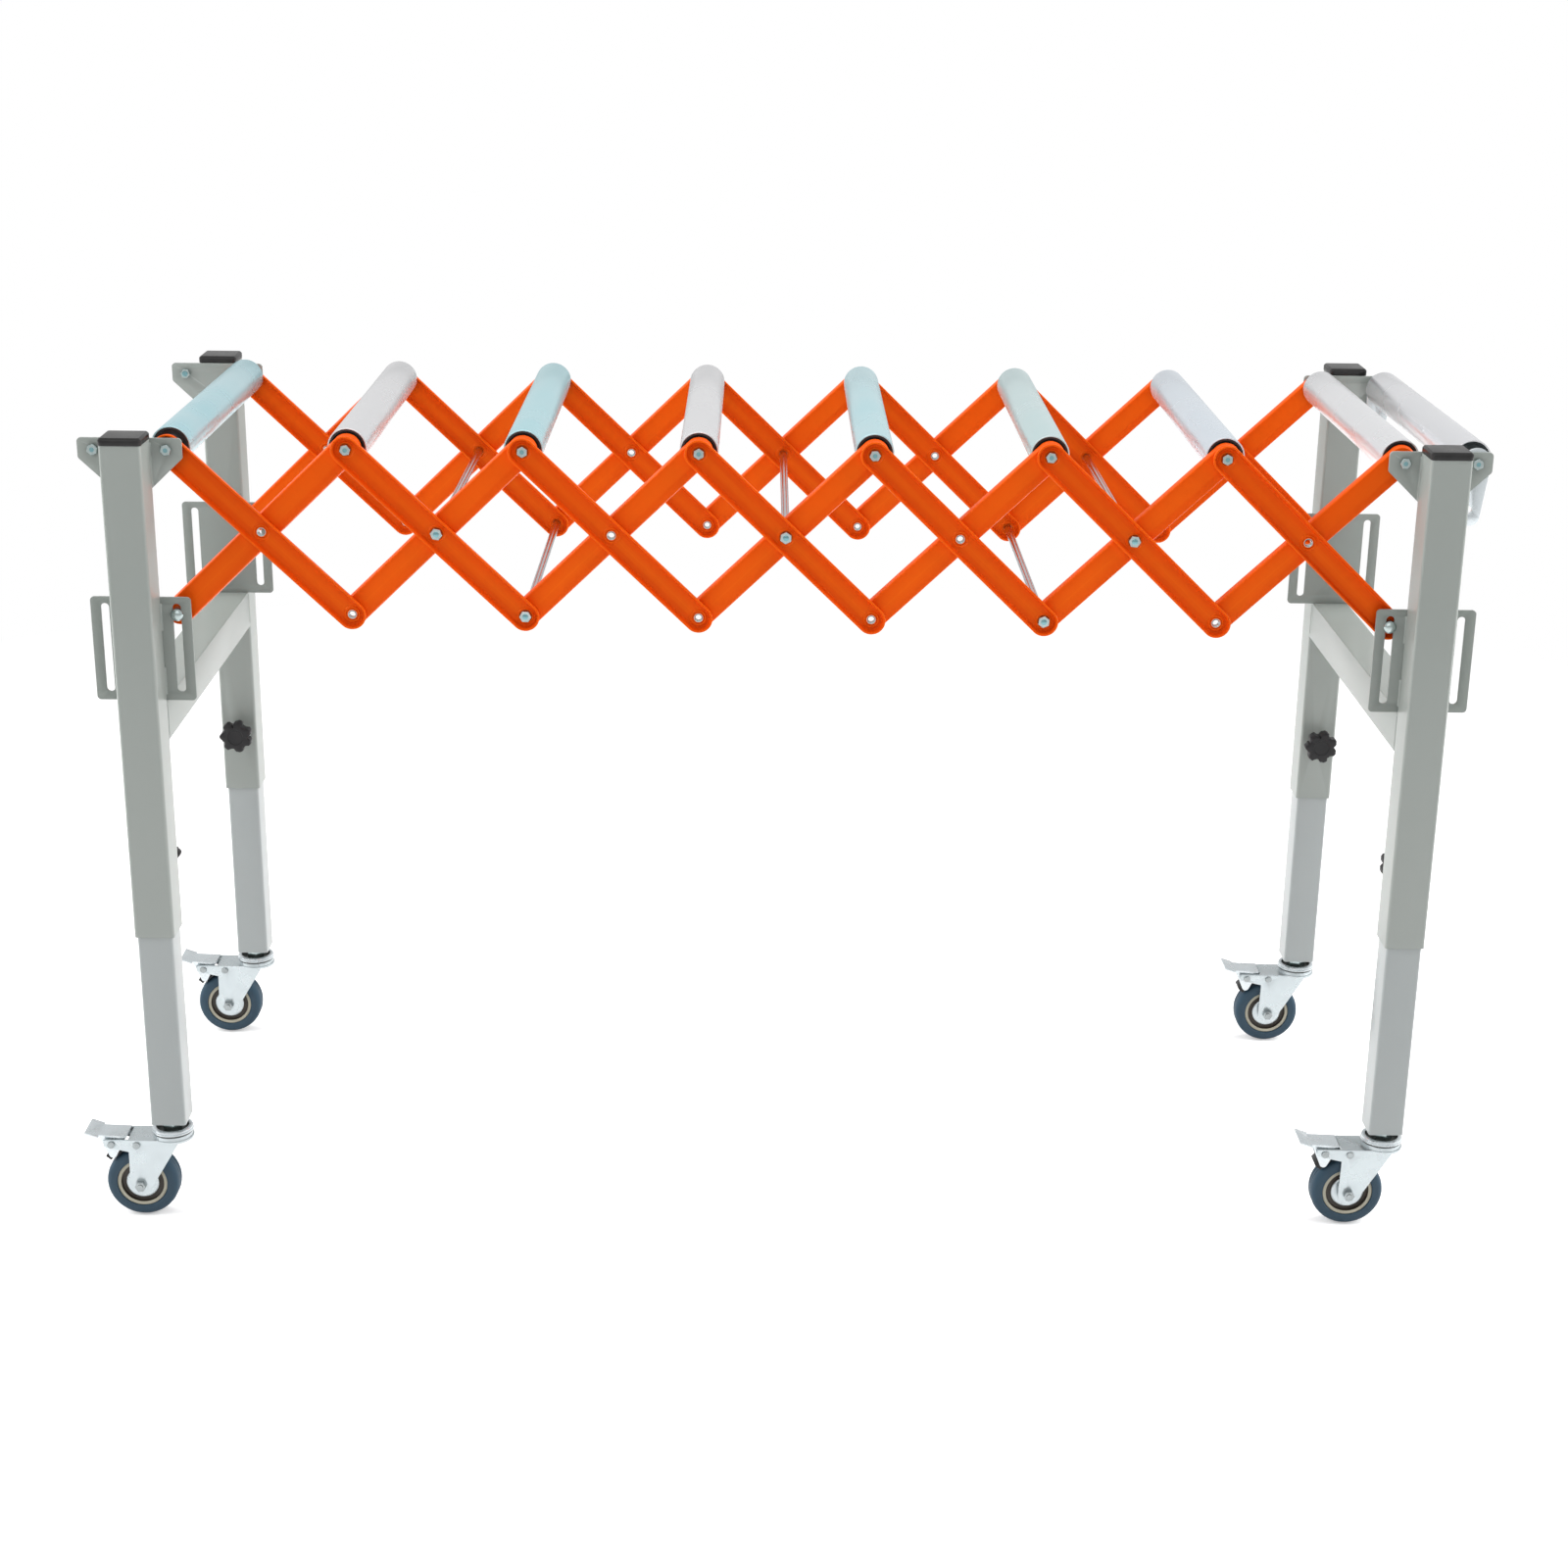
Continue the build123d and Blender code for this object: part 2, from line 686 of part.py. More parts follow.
cheek_outer = fork_width / 2
washer_start = cheek_outer + press_gap
hub_washer = ring(
    hub_washer_diameter / 2, washer_start, cheek_outer + bolt_tail, axle_radius + press_gap
)
hub_bolt = place(
    bolt(-cheek_outer - bolt_tail - press_gap, cheek_outer + press_gap, bolt_head_flats, axle_radius),
    Location((-caster_trail, 0, wheel_radius), (0, 0, 180)),
)
rivet_head_radius = fork_rivet_head_diameter / 2
rivet_head_seat = cheek_outer + press_gap
cross_rivet = join(
    ring(fork_rivet_diameter / 2, -cheek_outer - fork_rivet_head, cheek_outer + fork_rivet_head),
    ring(rivet_head_radius, -rivet_head_seat - fork_rivet_head, -rivet_head_seat),
    ring(rivet_head_radius, rivet_head_seat, rivet_head_seat + fork_rivet_head),
)
caster_fork = join(
    fork.part,
    hub_bolt,
    place(hub_washer, (-caster_trail, 0, wheel_radius)),
    place(cross_rivet, (-pedal_pivot_reach, 0, pedal_pivot_height)),
    place(cross_rivet, (-stop_rivet_reach, 0, stop_rivet_height)),
)

# Wheel about Y: a moulded core with a sunk band and a bush, and a grooved rubber tyre
with BuildPart() as wheel_core:
    ring_radius = tyre_bore / 2 - press_gap
    hub_end = inner_half - running_gap
    with BuildSketch(Plane.XY):
        with BuildLine():
            Polyline(
                (axle_hole, -hub_end),
                (hub_bush_diameter / 2, -hub_end),
                (hub_bush_diameter / 2, -core_width / 2),
                (core_disc_diameter / 2, -core_width / 2),
                (core_disc_diameter / 2, -core_width / 2 + core_recess),
                (ring_radius - core_ring_wall, -core_width / 2 + core_recess),
                (ring_radius - core_ring_wall, -core_width / 2),
                (ring_radius, -core_width / 2),
                (ring_radius, 0),
                (axle_hole, 0),
                close=True,
            )
        make_face()
        mirror(about=Plane.XZ)
    revolve(axis=Axis.Y)

with BuildPart() as tyre:
    with BuildSketch(Plane.XY):
        with BuildLine():
            Polyline(
                (tyre_bore / 2, 0),
                (tyre_bore / 2, -wheel_width / 2),
                (wheel_radius - tyre_shoulder, -wheel_width / 2),
                (wheel_radius, -wheel_width / 2 + tyre_shoulder),
                (wheel_radius, -tyre_groove_width),
                (wheel_radius - tyre_groove_depth, 0),
                close=True,
            )
        make_face()
        mirror(about=Plane.XZ)
    revolve(axis=Axis.Y)
wheel = join(wheel_core.part, tyre.part)

# Brake pedal: a bent plate with a wide tab and two lugs, and the rubber shoe between the lugs
with BuildPart() as pedal_plate:
    with BuildSketch(Plane.XZ.offset(pedal_width / 2)):
        with BuildLine():
            Polyline(
                (-pedal_start_reach, pedal_under),
                (-pedal_bend_reach, pedal_under + pedal_rise),
                (-pedal_bend_reach, pedal_under + pedal_rise + pedal_gauge),
                (-pedal_start_reach, pedal_under + pedal_gauge),
                close=True,
            )
        make_face()
    extrude(amount=-pedal_width)
    with BuildSketch(Plane.XZ.offset(tab_width / 2)):
        with BuildLine():
            Polyline(
                (-pedal_bend_reach, pedal_under + pedal_rise),
                (-tab_reach, pedal_under + pedal_rise + tab_rise),
                (-tab_reach, pedal_under + pedal_rise + tab_rise + pedal_gauge),
                (-pedal_bend_reach, pedal_under + pedal_rise + pedal_gauge),
                close=True,
            )
        make_face()
    extrude(amount=-tab_width)
    with BuildSketch(Plane.XZ.offset(pedal_width / 2)):
        with BuildLine():
            Line(
                (-pedal_start_reach, pedal_under + pedal_gauge),
                (-pedal_bend_reach, pedal_under + pedal_rise + pedal_gauge),
            )
        with Locations((-pedal_pivot_reach, pedal_pivot_height)):
            Circle(lug_radius)
        with Locations((shoe_centre_x, shoe_centre_height)):
            Circle(lug_tip_radius)
        make_hull()
        with Locations((-pedal_pivot_reach, pedal_pivot_height)):
            Circle(fork_rivet_diameter / 2 + running_gap, mode=Mode.SUBTRACT)
    extrude(amount=-pedal_gauge)
    mirror(about=Plane.XZ)

with BuildPart() as shoe:
    shoe_width = pedal_width - 2 * pedal_gauge - 2 * press_gap
    hub = (-caster_trail, wheel_radius)
    with BuildSketch(Plane.XZ.offset(shoe_width / 2)):
        with BuildLine():
            near_arc = CenterArc(hub, shoe_radius, shoe_start_angle, shoe_angle)
            far_arc = CenterArc(hub, shoe_radius + shoe_thickness, shoe_start_angle, shoe_angle)
            Line(near_arc @ 0, far_arc @ 0)
            Line(near_arc @ 1, far_arc @ 1)
        make_face()
    extrude(amount=-shoe_width)
pedal = join(pedal_plate.part, shoe.part)

# One leg assembly on each of the four leg lines, all casters trailing to the left
leg_assembly = join(leg_tube.part, stem.part)
for side, x in (("left", left_x), ("right", right_x)):
    for row, hand, turn in (("near", -1, 0), ("far", 1, 180)):
        y = hand * tube_centre
        knob_spot = Location((x, hand * inner_face, knob_centre_height), (0, 0, turn))
        save(place(leg_assembly, (x, y, 0)), f"{row}_{side}_leg")
        save(place(knob.part, knob_spot), f"{row}_{side}_knob")
        save(place(caster_fork, (x, y, 0)), f"{row}_{side}_fork")
        save(place(wheel, (x - caster_trail, y, wheel_radius)), f"{row}_{side}_wheel")
        save(place(pedal, (x, y, 0)), f"{row}_{side}_pedal")

# Coupling hook about the last axle, with a throat that catches the next conveyor's axle
with BuildPart() as hook:
    with BuildSketch(Plane.XZ):
        Circle(hook_eye_diameter / 2)
        with Locations((hook_offset, -hook_length / 2 - hook_corner)):
            RectangleRounded(hook_width, hook_length - 2 * hook_corner, hook_corner)
        make_hull()
        Circle(axle_hole, mode=Mode.SUBTRACT)
        with Locations((hook_offset - hook_width / 2, -hook_throat_drop)):
            SlotOverall(2 * hook_throat_depth, hook_throat_width, mode=Mode.SUBTRACT)
    extrude(amount=hook_gauge)
near_hook_y = -plate_inner + layer_gap + hook_gauge
far_hook_y = plate_inner - layer_gap
save(place(hook.part, (outer_pivot_x, near_hook_y, pivot_height)), "near_coupling_hook")
save(place(hook.part, (outer_pivot_x, far_hook_y, pivot_height)), "far_coupling_hook")
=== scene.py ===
"""Looks of an expandable roller conveyor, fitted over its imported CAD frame.

Lengths are in millimetres, apart from the studio's, which are in metres. Profiles of round pieces
are (radius, y) pairs about the Y axis.
"""

import json
import logging
import math
import random
from contextlib import contextmanager
from dataclasses import dataclass, field, replace
from enum import Enum
from typing import Any, Callable, Dict, Iterable, Iterator, List, Optional, Sequence, Tuple, Union

import bmesh
import bpy
from mathutils import Matrix, Vector


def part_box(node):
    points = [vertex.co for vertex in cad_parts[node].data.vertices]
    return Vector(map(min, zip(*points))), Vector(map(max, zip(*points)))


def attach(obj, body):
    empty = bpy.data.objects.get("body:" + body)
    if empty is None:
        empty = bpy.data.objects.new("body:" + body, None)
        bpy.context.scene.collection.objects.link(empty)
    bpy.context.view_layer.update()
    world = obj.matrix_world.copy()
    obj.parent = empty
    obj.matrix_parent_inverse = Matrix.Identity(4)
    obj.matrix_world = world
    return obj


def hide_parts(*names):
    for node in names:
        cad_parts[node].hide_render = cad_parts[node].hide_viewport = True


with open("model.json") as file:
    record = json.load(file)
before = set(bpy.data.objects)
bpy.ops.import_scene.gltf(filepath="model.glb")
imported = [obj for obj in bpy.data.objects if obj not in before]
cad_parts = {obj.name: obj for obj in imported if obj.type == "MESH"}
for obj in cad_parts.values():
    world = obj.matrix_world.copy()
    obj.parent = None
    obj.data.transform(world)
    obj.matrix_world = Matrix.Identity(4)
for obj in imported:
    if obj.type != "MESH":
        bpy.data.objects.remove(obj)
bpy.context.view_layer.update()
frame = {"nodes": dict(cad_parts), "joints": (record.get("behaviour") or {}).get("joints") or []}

MM = 0.001
LOG = logging.getLogger("conveyor")

BAYS = 7
TIED_MIDDLES = (2, 4, 6)
TIED_LOWS = (3, 6)
TUBE_FACE = 210.0  # from the bed's middle plane to the inner faces of the square tubes
ROLLER_END = 189.6  # from the bed's middle plane to the ends of the rollers
HEXAGON_CHAMFER, HEXAGON_LIP = 0.09, 0.16  # as shares of the radius and of the height
HEXAGON_EDGE, HEXAGON_ANGLE = 0.12, 25.0
MERGE_DISTANCE, FLAT_ANGLE = 0.001, 0.6  # for copies of CAD meshes
CORNER_SEGMENTS = 5

Step = Tuple[float, float]
Point = Tuple[float, float, float]
Colour = Tuple[float, float, float]
Piece = bpy.types.Object
Socket = bpy.types.NodeSocket
Value = Union[float, Sequence[float], Socket]
Test = Callable[[Vector], bool]


class Side(Enum):
    """Which end of the bed a piece is on."""

    LEFT = "left"
    RIGHT = "right"


class Row(Enum):
    """Which side of the bed a piece is on: towards the camera or away from it."""

    NEAR = "near"
    FAR = "far"

    @property
    def hand(self) -> int:
        """Sign of Y on this side."""
        return -1 if self is Row.NEAR else 1

    @property
    def turn(self) -> float:
        """Turn about the upright axis that brings a near piece to this side, in degrees."""
        return 0.0 if self is Row.NEAR else 180.0


class Element(Enum):
    """What is picked in edit mode."""

    VERTICES = "VERT"
    EDGES = "EDGE"
    FACES = "FACE"


# Finishes


@dataclass
class Wiring:
    """Adds and joins the nodes of one material or world."""

    tree: bpy.types.NodeTree

    def feed(self, node: bpy.types.Node, inputs: Dict[Any, Value]) -> None:
        """Sets inputs of a node to values, or joins them to sockets.

        Args:
            node: Node to feed.
            inputs: Value or socket by the input's name or number.
        """
        for place, value in inputs.items():
            if isinstance(value, Socket):
                self.tree.links.new(value, node.inputs[place])
            else:
                node.inputs[place].default_value = value

    def add(self, kind: str, output: str, inputs: Optional[Dict[Any, Value]] = None,
            **settings: str) -> Socket:
        """Adds a node.

        Args:
            kind: Node type, without the ShaderNode that starts its name.
            output: Name of the output that is used.
            inputs: Value or socket by the input's name or number.
            settings: Settings of the node itself.

        Returns:
            The output.
        """
        node = self.tree.nodes.new("ShaderNode" + kind)
        for setting, value in settings.items():
            setattr(node, setting, value)
        self.feed(node, inputs or {})
        return node.outputs[output]

    def noise(self, place: Socket, scale: float, octaves: float) -> Socket:
        """Noise on coordinates, with its scale in cycles per metre."""
        return self.add("TexNoise", "Fac", {"Vector": place, "Scale": scale, "Detail": octaves})

    def product(self, first: Value, second: Value) -> Socket:
        """Product of two values."""
        return self.add("Math", "Value", {0: first, 1: second}, operation="MULTIPLY")

    def blend(self, share: Socket, first: Value, second: Value) -> Socket:
        """Colour that goes from the first to the second as the share grows."""
        return self.add("Mix", "Result", {"Factor": share, "A": first, "B": second}, data_type="RGBA")


@dataclass(frozen=True)
class Finish:
    """A procedural surface: colour with mottling, gloss, fine relief and worn edges.

    The colour mottles towards the shade and the roughness goes up and down by its spread. Mottle and
    grain are noise scales in cycles per metre, the relief is the height of the grain, and the
    stretch draws the grain out along an axis.
    """

    name: str
    colour: Colour
    shade: Colour
    metallic: float = 0.0
    roughness: float = 0.4
    spread: float = 0.1
    mottle: float = 18.0
    mottle_octaves: float = 4.0
    grain: float = 900.0
    grain_octaves: float = 2.0
    relief: float = 0.02
    stretch: Point = (1.0, 1.0, 1.0)
    coat: float = 0.0
    coat_roughness: float = 0.12
    specular: float = 0.5
    specular_tint: Colour = (1.0, 1.0, 1.0)
    wear: float = 0.0
    wear_colour: Colour = (0.8, 0.8, 0.8)
    wear_start: float = 0.52
    wear_end: float = 0.60

    def material(self) -> bpy.types.Material:
        """Builds the node material once and returns it from then on.

        Returns:
            The Blender material of this finish.
        """
        found = bpy.data.materials.get(self.name)
        if found:
            return found
        made = bpy.data.materials.new(self.name)
        made.use_nodes = True
        nodes = Wiring(made.node_tree)
        place = nodes.add("TexCoord", "Object")
        clouds = nodes.noise(place, self.mottle, self.mottle_octaves)
        stretched = nodes.add("Mapping", "Vector", {"Vector": place, "Scale": self.stretch})
        grains = nodes.noise(stretched, self.grain, self.grain_octaves)
        colour = nodes.blend(clouds, (*self.colour, 1.0), (*self.shade, 1.0))
        if self.wear > 0.0:
            colour = self._worn(nodes, colour, clouds)
        low, high = self.roughness - self.spread, self.roughness + self.spread
        roughness = nodes.add("MapRange", "Result", {"Value": clouds, "To Min": low, "To Max": high})
        normal = nodes.add("Bump", "Normal", {"Height": grains, "Distance": self.relief * MM})
        nodes.feed(made.node_tree.nodes["Principled BSDF"], {
            "Base Color": colour, "Metallic": self.metallic, "Roughness": roughness, "Normal": normal,
            "Coat Weight": self.coat, "Coat Roughness": self.coat_roughness,
            "Specular IOR Level": self.specular, "Specular Tint": (*self.specular_tint, 1.0)})
        return made

    def _worn(self, nodes: Wiring, colour: Socket, clouds: Socket) -> Socket:
        """Lets a lighter colour show where sharp edges have rubbed.

        Args:
            nodes: Wiring of the material.
            colour: The unworn colour.
            clouds: Noise that breaks the wear up.

        Returns:
            The worn colour.
        """
        sharpness = nodes.add("NewGeometry", "Pointiness")
        band = nodes.add("MapRange", "Result", {
            "Value": sharpness, "From Min": self.wear_start, "From Max": self.wear_end})
        share = nodes.product(nodes.product(band, clouds), self.wear)
        return nodes.blend(share, colour, (*self.wear_colour, 1.0))


FRAME_GREY = Finish(
    "frame_grey_powder_coat", (0.257, 0.281, 0.261), (0.234, 0.257, 0.241), roughness=0.38, spread=0.05,
    mottle=6.0, grain=700.0, relief=0.03, coat=0.25, wear=0.35, wear_colour=(0.62, 0.65, 0.64))
# The frame's grey powder coat, darkened as painted shade for the slot plates, which sit behind the tubes.
# It is also rougher.
SHADED_PLATE_GREY = replace(
    FRAME_GREY, name="plate_grey_powder_coat", colour=(0.228, 0.250, 0.232), shade=(0.206, 0.228, 0.213),
    roughness=0.48, mottle=9.0, relief=0.05, coat=0.0, wear=0.3, wear_colour=(0.42, 0.45, 0.43))
LEG_GREY = replace(
    FRAME_GREY, name="leg_grey_powder_coat", colour=(0.288, 0.313, 0.312), shade=(0.267, 0.291, 0.291),
    roughness=0.36, mottle=5.0, wear_colour=(0.66, 0.69, 0.69))
LATTICE_ORANGE = Finish(
    "lattice_orange_enamel", (0.78, 0.079, 0.003), (0.66, 0.058, 0.002), roughness=0.34, spread=0.06,
    mottle=14.0, grain=420.0, relief=0.04, specular_tint=(1.0, 0.50, 0.10), wear=0.5,
    wear_colour=(0.93, 0.20, 0.01))
ZINC_PLATE = Finish(
    "bright_zinc_plate", (0.73, 0.79, 0.82), (0.63, 0.67, 0.69), metallic=0.82, roughness=0.26,
    spread=0.07, mottle=55.0, grain=1500.0, relief=0.012)
FORK_PLATE = replace(
    ZINC_PLATE, name="pale_zinc_pressing", colour=(0.59, 0.65, 0.67), shade=(0.51, 0.56, 0.58),
    roughness=0.28)
BOLT_ZINC = Finish(
    "blue_zinc_fasteners", (0.58, 0.68, 0.68), (0.38, 0.44, 0.43), metallic=0.95, roughness=0.20,
    spread=0.07, mottle=160.0, grain=2500.0, relief=0.01)
FORK_ZINC = replace(
    BOLT_ZINC, name="dull_zinc_rivets", colour=(0.44, 0.48, 0.49), shade=(0.24, 0.26, 0.26),
    metallic=0.92, spread=0.08, grain=2200.0, relief=0.015)
TIP_ZINC = replace(
    BOLT_ZINC, name="teal_passivated_rod_ends", colour=(0.26, 0.48, 0.52), shade=(0.20, 0.36, 0.38),
    metallic=0.9, roughness=0.22, spread=0.06, mottle=200.0)
# Painted shade: dark, partly oily steel put into the caster race's dish and the band under its rim, where
# shade falls.
OILY_RECESS_SHADE = Finish(
    "oiled_dark_steel", (0.045, 0.050, 0.048), (0.075, 0.080, 0.072), metallic=0.6, roughness=0.38,
    mottle=120.0, grain=1800.0)
ROD_STEEL = Finish(
    "drawn_rod_steel", (0.72, 0.71, 0.73), (0.58, 0.57, 0.59), metallic=1.0, roughness=0.20, spread=0.05,
    mottle=40.0, grain=1800.0, relief=0.012, stretch=(1.0, 0.06, 1.0))
TYRE_RUBBER = Finish(
    "blue_grey_tyre_rubber", (0.017, 0.042, 0.067), (0.025, 0.056, 0.084), roughness=0.50, spread=0.08,
    mottle=45.0, grain=1600.0, relief=0.05, specular=0.35)
CORE_PLASTIC = Finish(
    "tan_wheel_core", (0.42, 0.40, 0.31), (0.34, 0.32, 0.25), roughness=0.42, mottle=70.0, grain=1400.0,
    relief=0.03)
# Painted shadow: dark brown on the core's sunk band and web, for the shade inside the wheel's recess.
CORE_SHADOW = replace(
    CORE_PLASTIC, name="dark_brown_core_web", colour=(0.030, 0.024, 0.018), shade=(0.048, 0.038, 0.028),
    roughness=0.5, mottle=90.0)
KNOB_PLASTIC = Finish(
    "black_knob_plastic", (0.007, 0.007, 0.008), (0.014, 0.013, 0.014), roughness=0.36, spread=0.06,
    mottle=60.0, grain=1800.0, relief=0.03, specular=0.35)
CAP_PLASTIC = Finish(
    "black_moulded_plastic", (0.010, 0.010, 0.010), (0.018, 0.017, 0.017), roughness=0.30, spread=0.08,
    mottle=60.0, grain=1300.0, relief=0.08, specular=0.35, wear=0.3, wear_colour=(0.16, 0.16, 0.16))
HOUSING_PLASTIC = Finish(
    "black_bearing_housing", (0.014, 0.020, 0.022), (0.022, 0.028, 0.030), roughness=0.36, mottle=90.0,
    grain=1500.0, relief=0.04)
ROLLER_CHROME = Finish(
    "chromed_roller_tube", (0.78, 0.78, 0.80), (0.84, 0.84, 0.85), metallic=0.8, roughness=0.27,
    spread=0.05, mottle=9.0, grain=700.0, relief=0.0015, stretch=(1.0, 0.04, 1.0))

ROLLER_TINTS: Tuple[Colour, ...] = (
    (0.36, 0.70, 0.78), (0.78, 0.78, 0.80), (0.40, 0.76, 0.83), (0.80, 0.80, 0.82), (0.46, 0.80, 0.87),
    (0.58, 0.79, 0.80), (0.74, 0.83, 0.92), (0.85, 0.86, 0.88), (0.80, 0.81, 0.84))
ROLLER_PALE = 0.9


def roller_finish(number: int) -> Finish:
    """Chrome tube under a thin film whose tint differs from roller to roller.

    Args:
        number: Roller number, from 1 at the left.

    Returns:
        The finish of that roller's tube.
    """
    tint = ROLLER_TINTS[number - 1]
    pale = tuple(0.5 * (ROLLER_PALE + part) for part in tint)
    return replace(ROLLER_CHROME, name=f"{ROLLER_CHROME.name}_{number}", colour=tint, shade=pale)


# Making and shaping meshes


def deselect() -> None:
    """Leaves nothing selected."""
    for thing in bpy.context.selected_objects:
        thing.select_set(False)


def only(thing: Piece) -> None:
    """Selects one object alone and makes it the active one.

    Args:
        thing: Object to select.
    """
    deselect()
    thing.select_set(True)
    bpy.context.view_layer.objects.active = thing


@contextmanager
def edited(thing: Piece) -> Iterator[None]:
    """Opens one object, alone, in edit mode with all of it selected, and closes it afterwards.

    Args:
        thing: Object to edit.

    Yields:
        Nothing.
    """
    only(thing)
    bpy.ops.object.mode_set(mode="EDIT")
    bpy.ops.mesh.select_mode(type=Element.EDGES.value)
    bpy.ops.mesh.select_all(action="SELECT")
    yield
    bpy.ops.object.mode_set(mode="OBJECT")


def pick(thing: Piece, kind: Element, wanted: Test) -> None:
    """Selects, in edit mode, the vertices, edges or faces whose middle is wanted.

    Args:
        thing: Object in edit mode.
        kind: What is picked.
        wanted: Says of a middle point whether it is selected.
    """
    bpy.ops.mesh.select_mode(type=kind.value)
    bpy.ops.mesh.select_all(action="DESELECT")
    shape = bmesh.from_edit_mesh(thing.data)
    for part in getattr(shape, f"{kind.value.lower()}s"):
        corners = [part] if kind is Element.VERTICES else part.verts
        middle = sum((corner.co for corner in corners), Vector()) / len(corners)
        if wanted(middle / MM):
            part.select_set(True)
    shape.select_flush_mode()
    bmesh.update_edit_mesh(thing.data)


def slide(x: float, y: float, z: float) -> None:
    """Moves what is selected in edit mode."""
    bpy.ops.transform.translate(value=(x * MM, y * MM, z * MM))


def extrude(x: float, y: float, z: float) -> None:
    """Extrudes what is selected in edit mode."""
    bpy.ops.mesh.extrude_region_move(TRANSFORM_OT_translate={"value": (x * MM, y * MM, z * MM)})


def squeeze(scale: float, y: float = 0.0) -> None:
    """Scales what is selected in edit mode towards the Y axis, in the plane of a given y."""
    bpy.ops.transform.resize(value=(scale, 1, scale), center_override=(0, y * MM, 0))


def settle(thing: Piece) -> None:
    """Moves an object's place, turn and scale into its mesh."""
    only(thing)
    bpy.ops.object.transform_apply(location=True, rotation=True, scale=True)


def modify(thing: Piece, kind: str, **settings: Any) -> None:
    """Applies a modifier to an object.

    Args:
        thing: Object to change.
        kind: Modifier type.
        settings: Settings of the modifier.
    """
    only(thing)
    modifier = thing.modifiers.new(kind, kind)
    for setting, value in settings.items():
        setattr(modifier, setting, value)
    bpy.ops.object.modifier_apply(modifier=modifier.name)


def bevel_edges(thing: Piece, width: float, segments: int = 2, angle: float = 35.0) -> None:
    """Rounds every edge that is sharper than an angle.

    Args:
        thing: Object to round.
        width: Width of the rounding.
        segments: Faces across the rounding.
        angle: Least angle between faces, in degrees.
    """
    modify(thing, "BEVEL", width=width * MM, segments=segments, limit_method="ANGLE",
           angle_limit=math.radians(angle))


def smooth(thing: Piece, angle: float = 32.0) -> None:
    """Shades round stretches smooth and keeps real edges.

    Args:
        thing: Object to shade.
        angle: Sharpest angle that stays smooth, in degrees.
    """
    only(thing)
    bpy.ops.object.shade_smooth_by_angle(angle=math.radians(angle))


def turned(name: str, steps: Sequence[Step], segments: int, ring: bool = False,
           place: Matrix = Matrix.Identity(4)) -> Piece:
    """Turns a closed round piece about the Y axis, by extruding a circle along its profile.

    Args:
        name: Name of the piece.
        steps: Profile as (radius, y) pairs.
        segments: Corners of the circle.
        ring: Whether the profile closes on itself; otherwise both ends are filled.
        place: Where the finished piece goes.

    Returns:
        The new object.
    """
    deselect()
    radius, y = steps[0]
    bpy.ops.mesh.primitive_circle_add(
        vertices=segments, radius=radius * MM, location=(0, y * MM, 0), rotation=(math.pi / 2, 0, 0))
    thing = bpy.context.object
    thing.name = name
    settle(thing)
    with edited(thing):
        for next_radius, next_y in steps[1:]:
            extrude(0, next_y - y, 0)
            if not math.isclose(next_radius, radius):
                squeeze(next_radius / radius, next_y)
            radius, y = next_radius, next_y
        if ring:
            bpy.ops.mesh.select_all(action="DESELECT")
            bpy.ops.mesh.select_non_manifold()
            bpy.ops.mesh.bridge_edge_loops()
        else:
            bpy.ops.mesh.select_all(action="SELECT")
            bpy.ops.mesh.fill_holes(sides=0)
        bpy.ops.mesh.select_all(action="SELECT")
        bpy.ops.mesh.normals_make_consistent(inside=False)
    smooth(thing)
    thing.data.transform(place)
    return thing


def both_sides(half: Sequence[Step]) -> List[Step]:
    """Completes a profile with its mirror image beyond y zero, without doubling a step at zero."""
    return [*half, *((radius, -place) for radius, place in reversed(half) if place)]


def hexagon(name: str, flats: float, start: float, height: float, turn: float = 0.0) -> Piece:
    """Makes a hexagonal nut or head on the Y axis, with chamfered faces.

    Args:
        name: Name of the piece.
        flats: Width across flats.
        start: Y of the face that it sits on.
        height: Thickness, towards +Y, or towards -Y when negative.
        turn: Turn about Y, in degrees.

    Returns:
        The new object.
    """
    radius = flats / 2 / math.cos(math.pi / 6)
    face_radius = (1 - HEXAGON_CHAMFER) * radius
    low, high = sorted((start, start + height))
    lip = HEXAGON_LIP * (high - low)
    steps = [(face_radius, low), (radius, low + lip), (radius, high - lip), (face_radius, high)]
    thing = turned(name, steps, 6, place=Matrix.Rotation(math.radians(turn), 4, "Y"))
    bevel_edges(thing, HEXAGON_EDGE, 1, HEXAGON_ANGLE)
    smooth(thing, HEXAGON_ANGLE)
    return thing


def block(name: str, low: Point, high: Point, corner: float) -> Piece:
    """Makes an upright bar of square section with rounded corners.

    Args:
        name: Name of the piece.
        low: Lowest corner.
        high: Highest corner.
        corner: Radius of the upright corners.

    Returns:
        The new object.
    """
    deselect()
    middle = [(a + b) / 2 for a, b in zip(low, high)]
    spans = [b - a for a, b in zip(low, high)]
    bpy.ops.mesh.primitive_cube_add(
        size=1, location=[part * MM for part in middle], scale=[span * MM for span in spans])
    thing = bpy.context.object
    thing.name = name
    settle(thing)
    with edited(thing):
        pick(thing, Element.EDGES, lambda p: abs(p.z - middle[2]) < spans[2] * 0.01)
        bpy.ops.mesh.bevel(offset=corner * MM, segments=CORNER_SEGMENTS, affect="EDGES", profile=0.5)
    return thing


def copy_of(source: Piece, name: str, place: Matrix) -> Piece:
    """Copies a piece with its own mesh, placed inside that mesh.

    Args:
        source: Piece to copy.
        name: Name of the copy.
        place: Where the copy goes.

    Returns:
        The copy.
    """
    made = source.copy()
    made.data = source.data.copy()
    made.name = name
    made.data.name = name
    bpy.context.scene.collection.objects.link(made)
    made.data.transform(place)
    return made


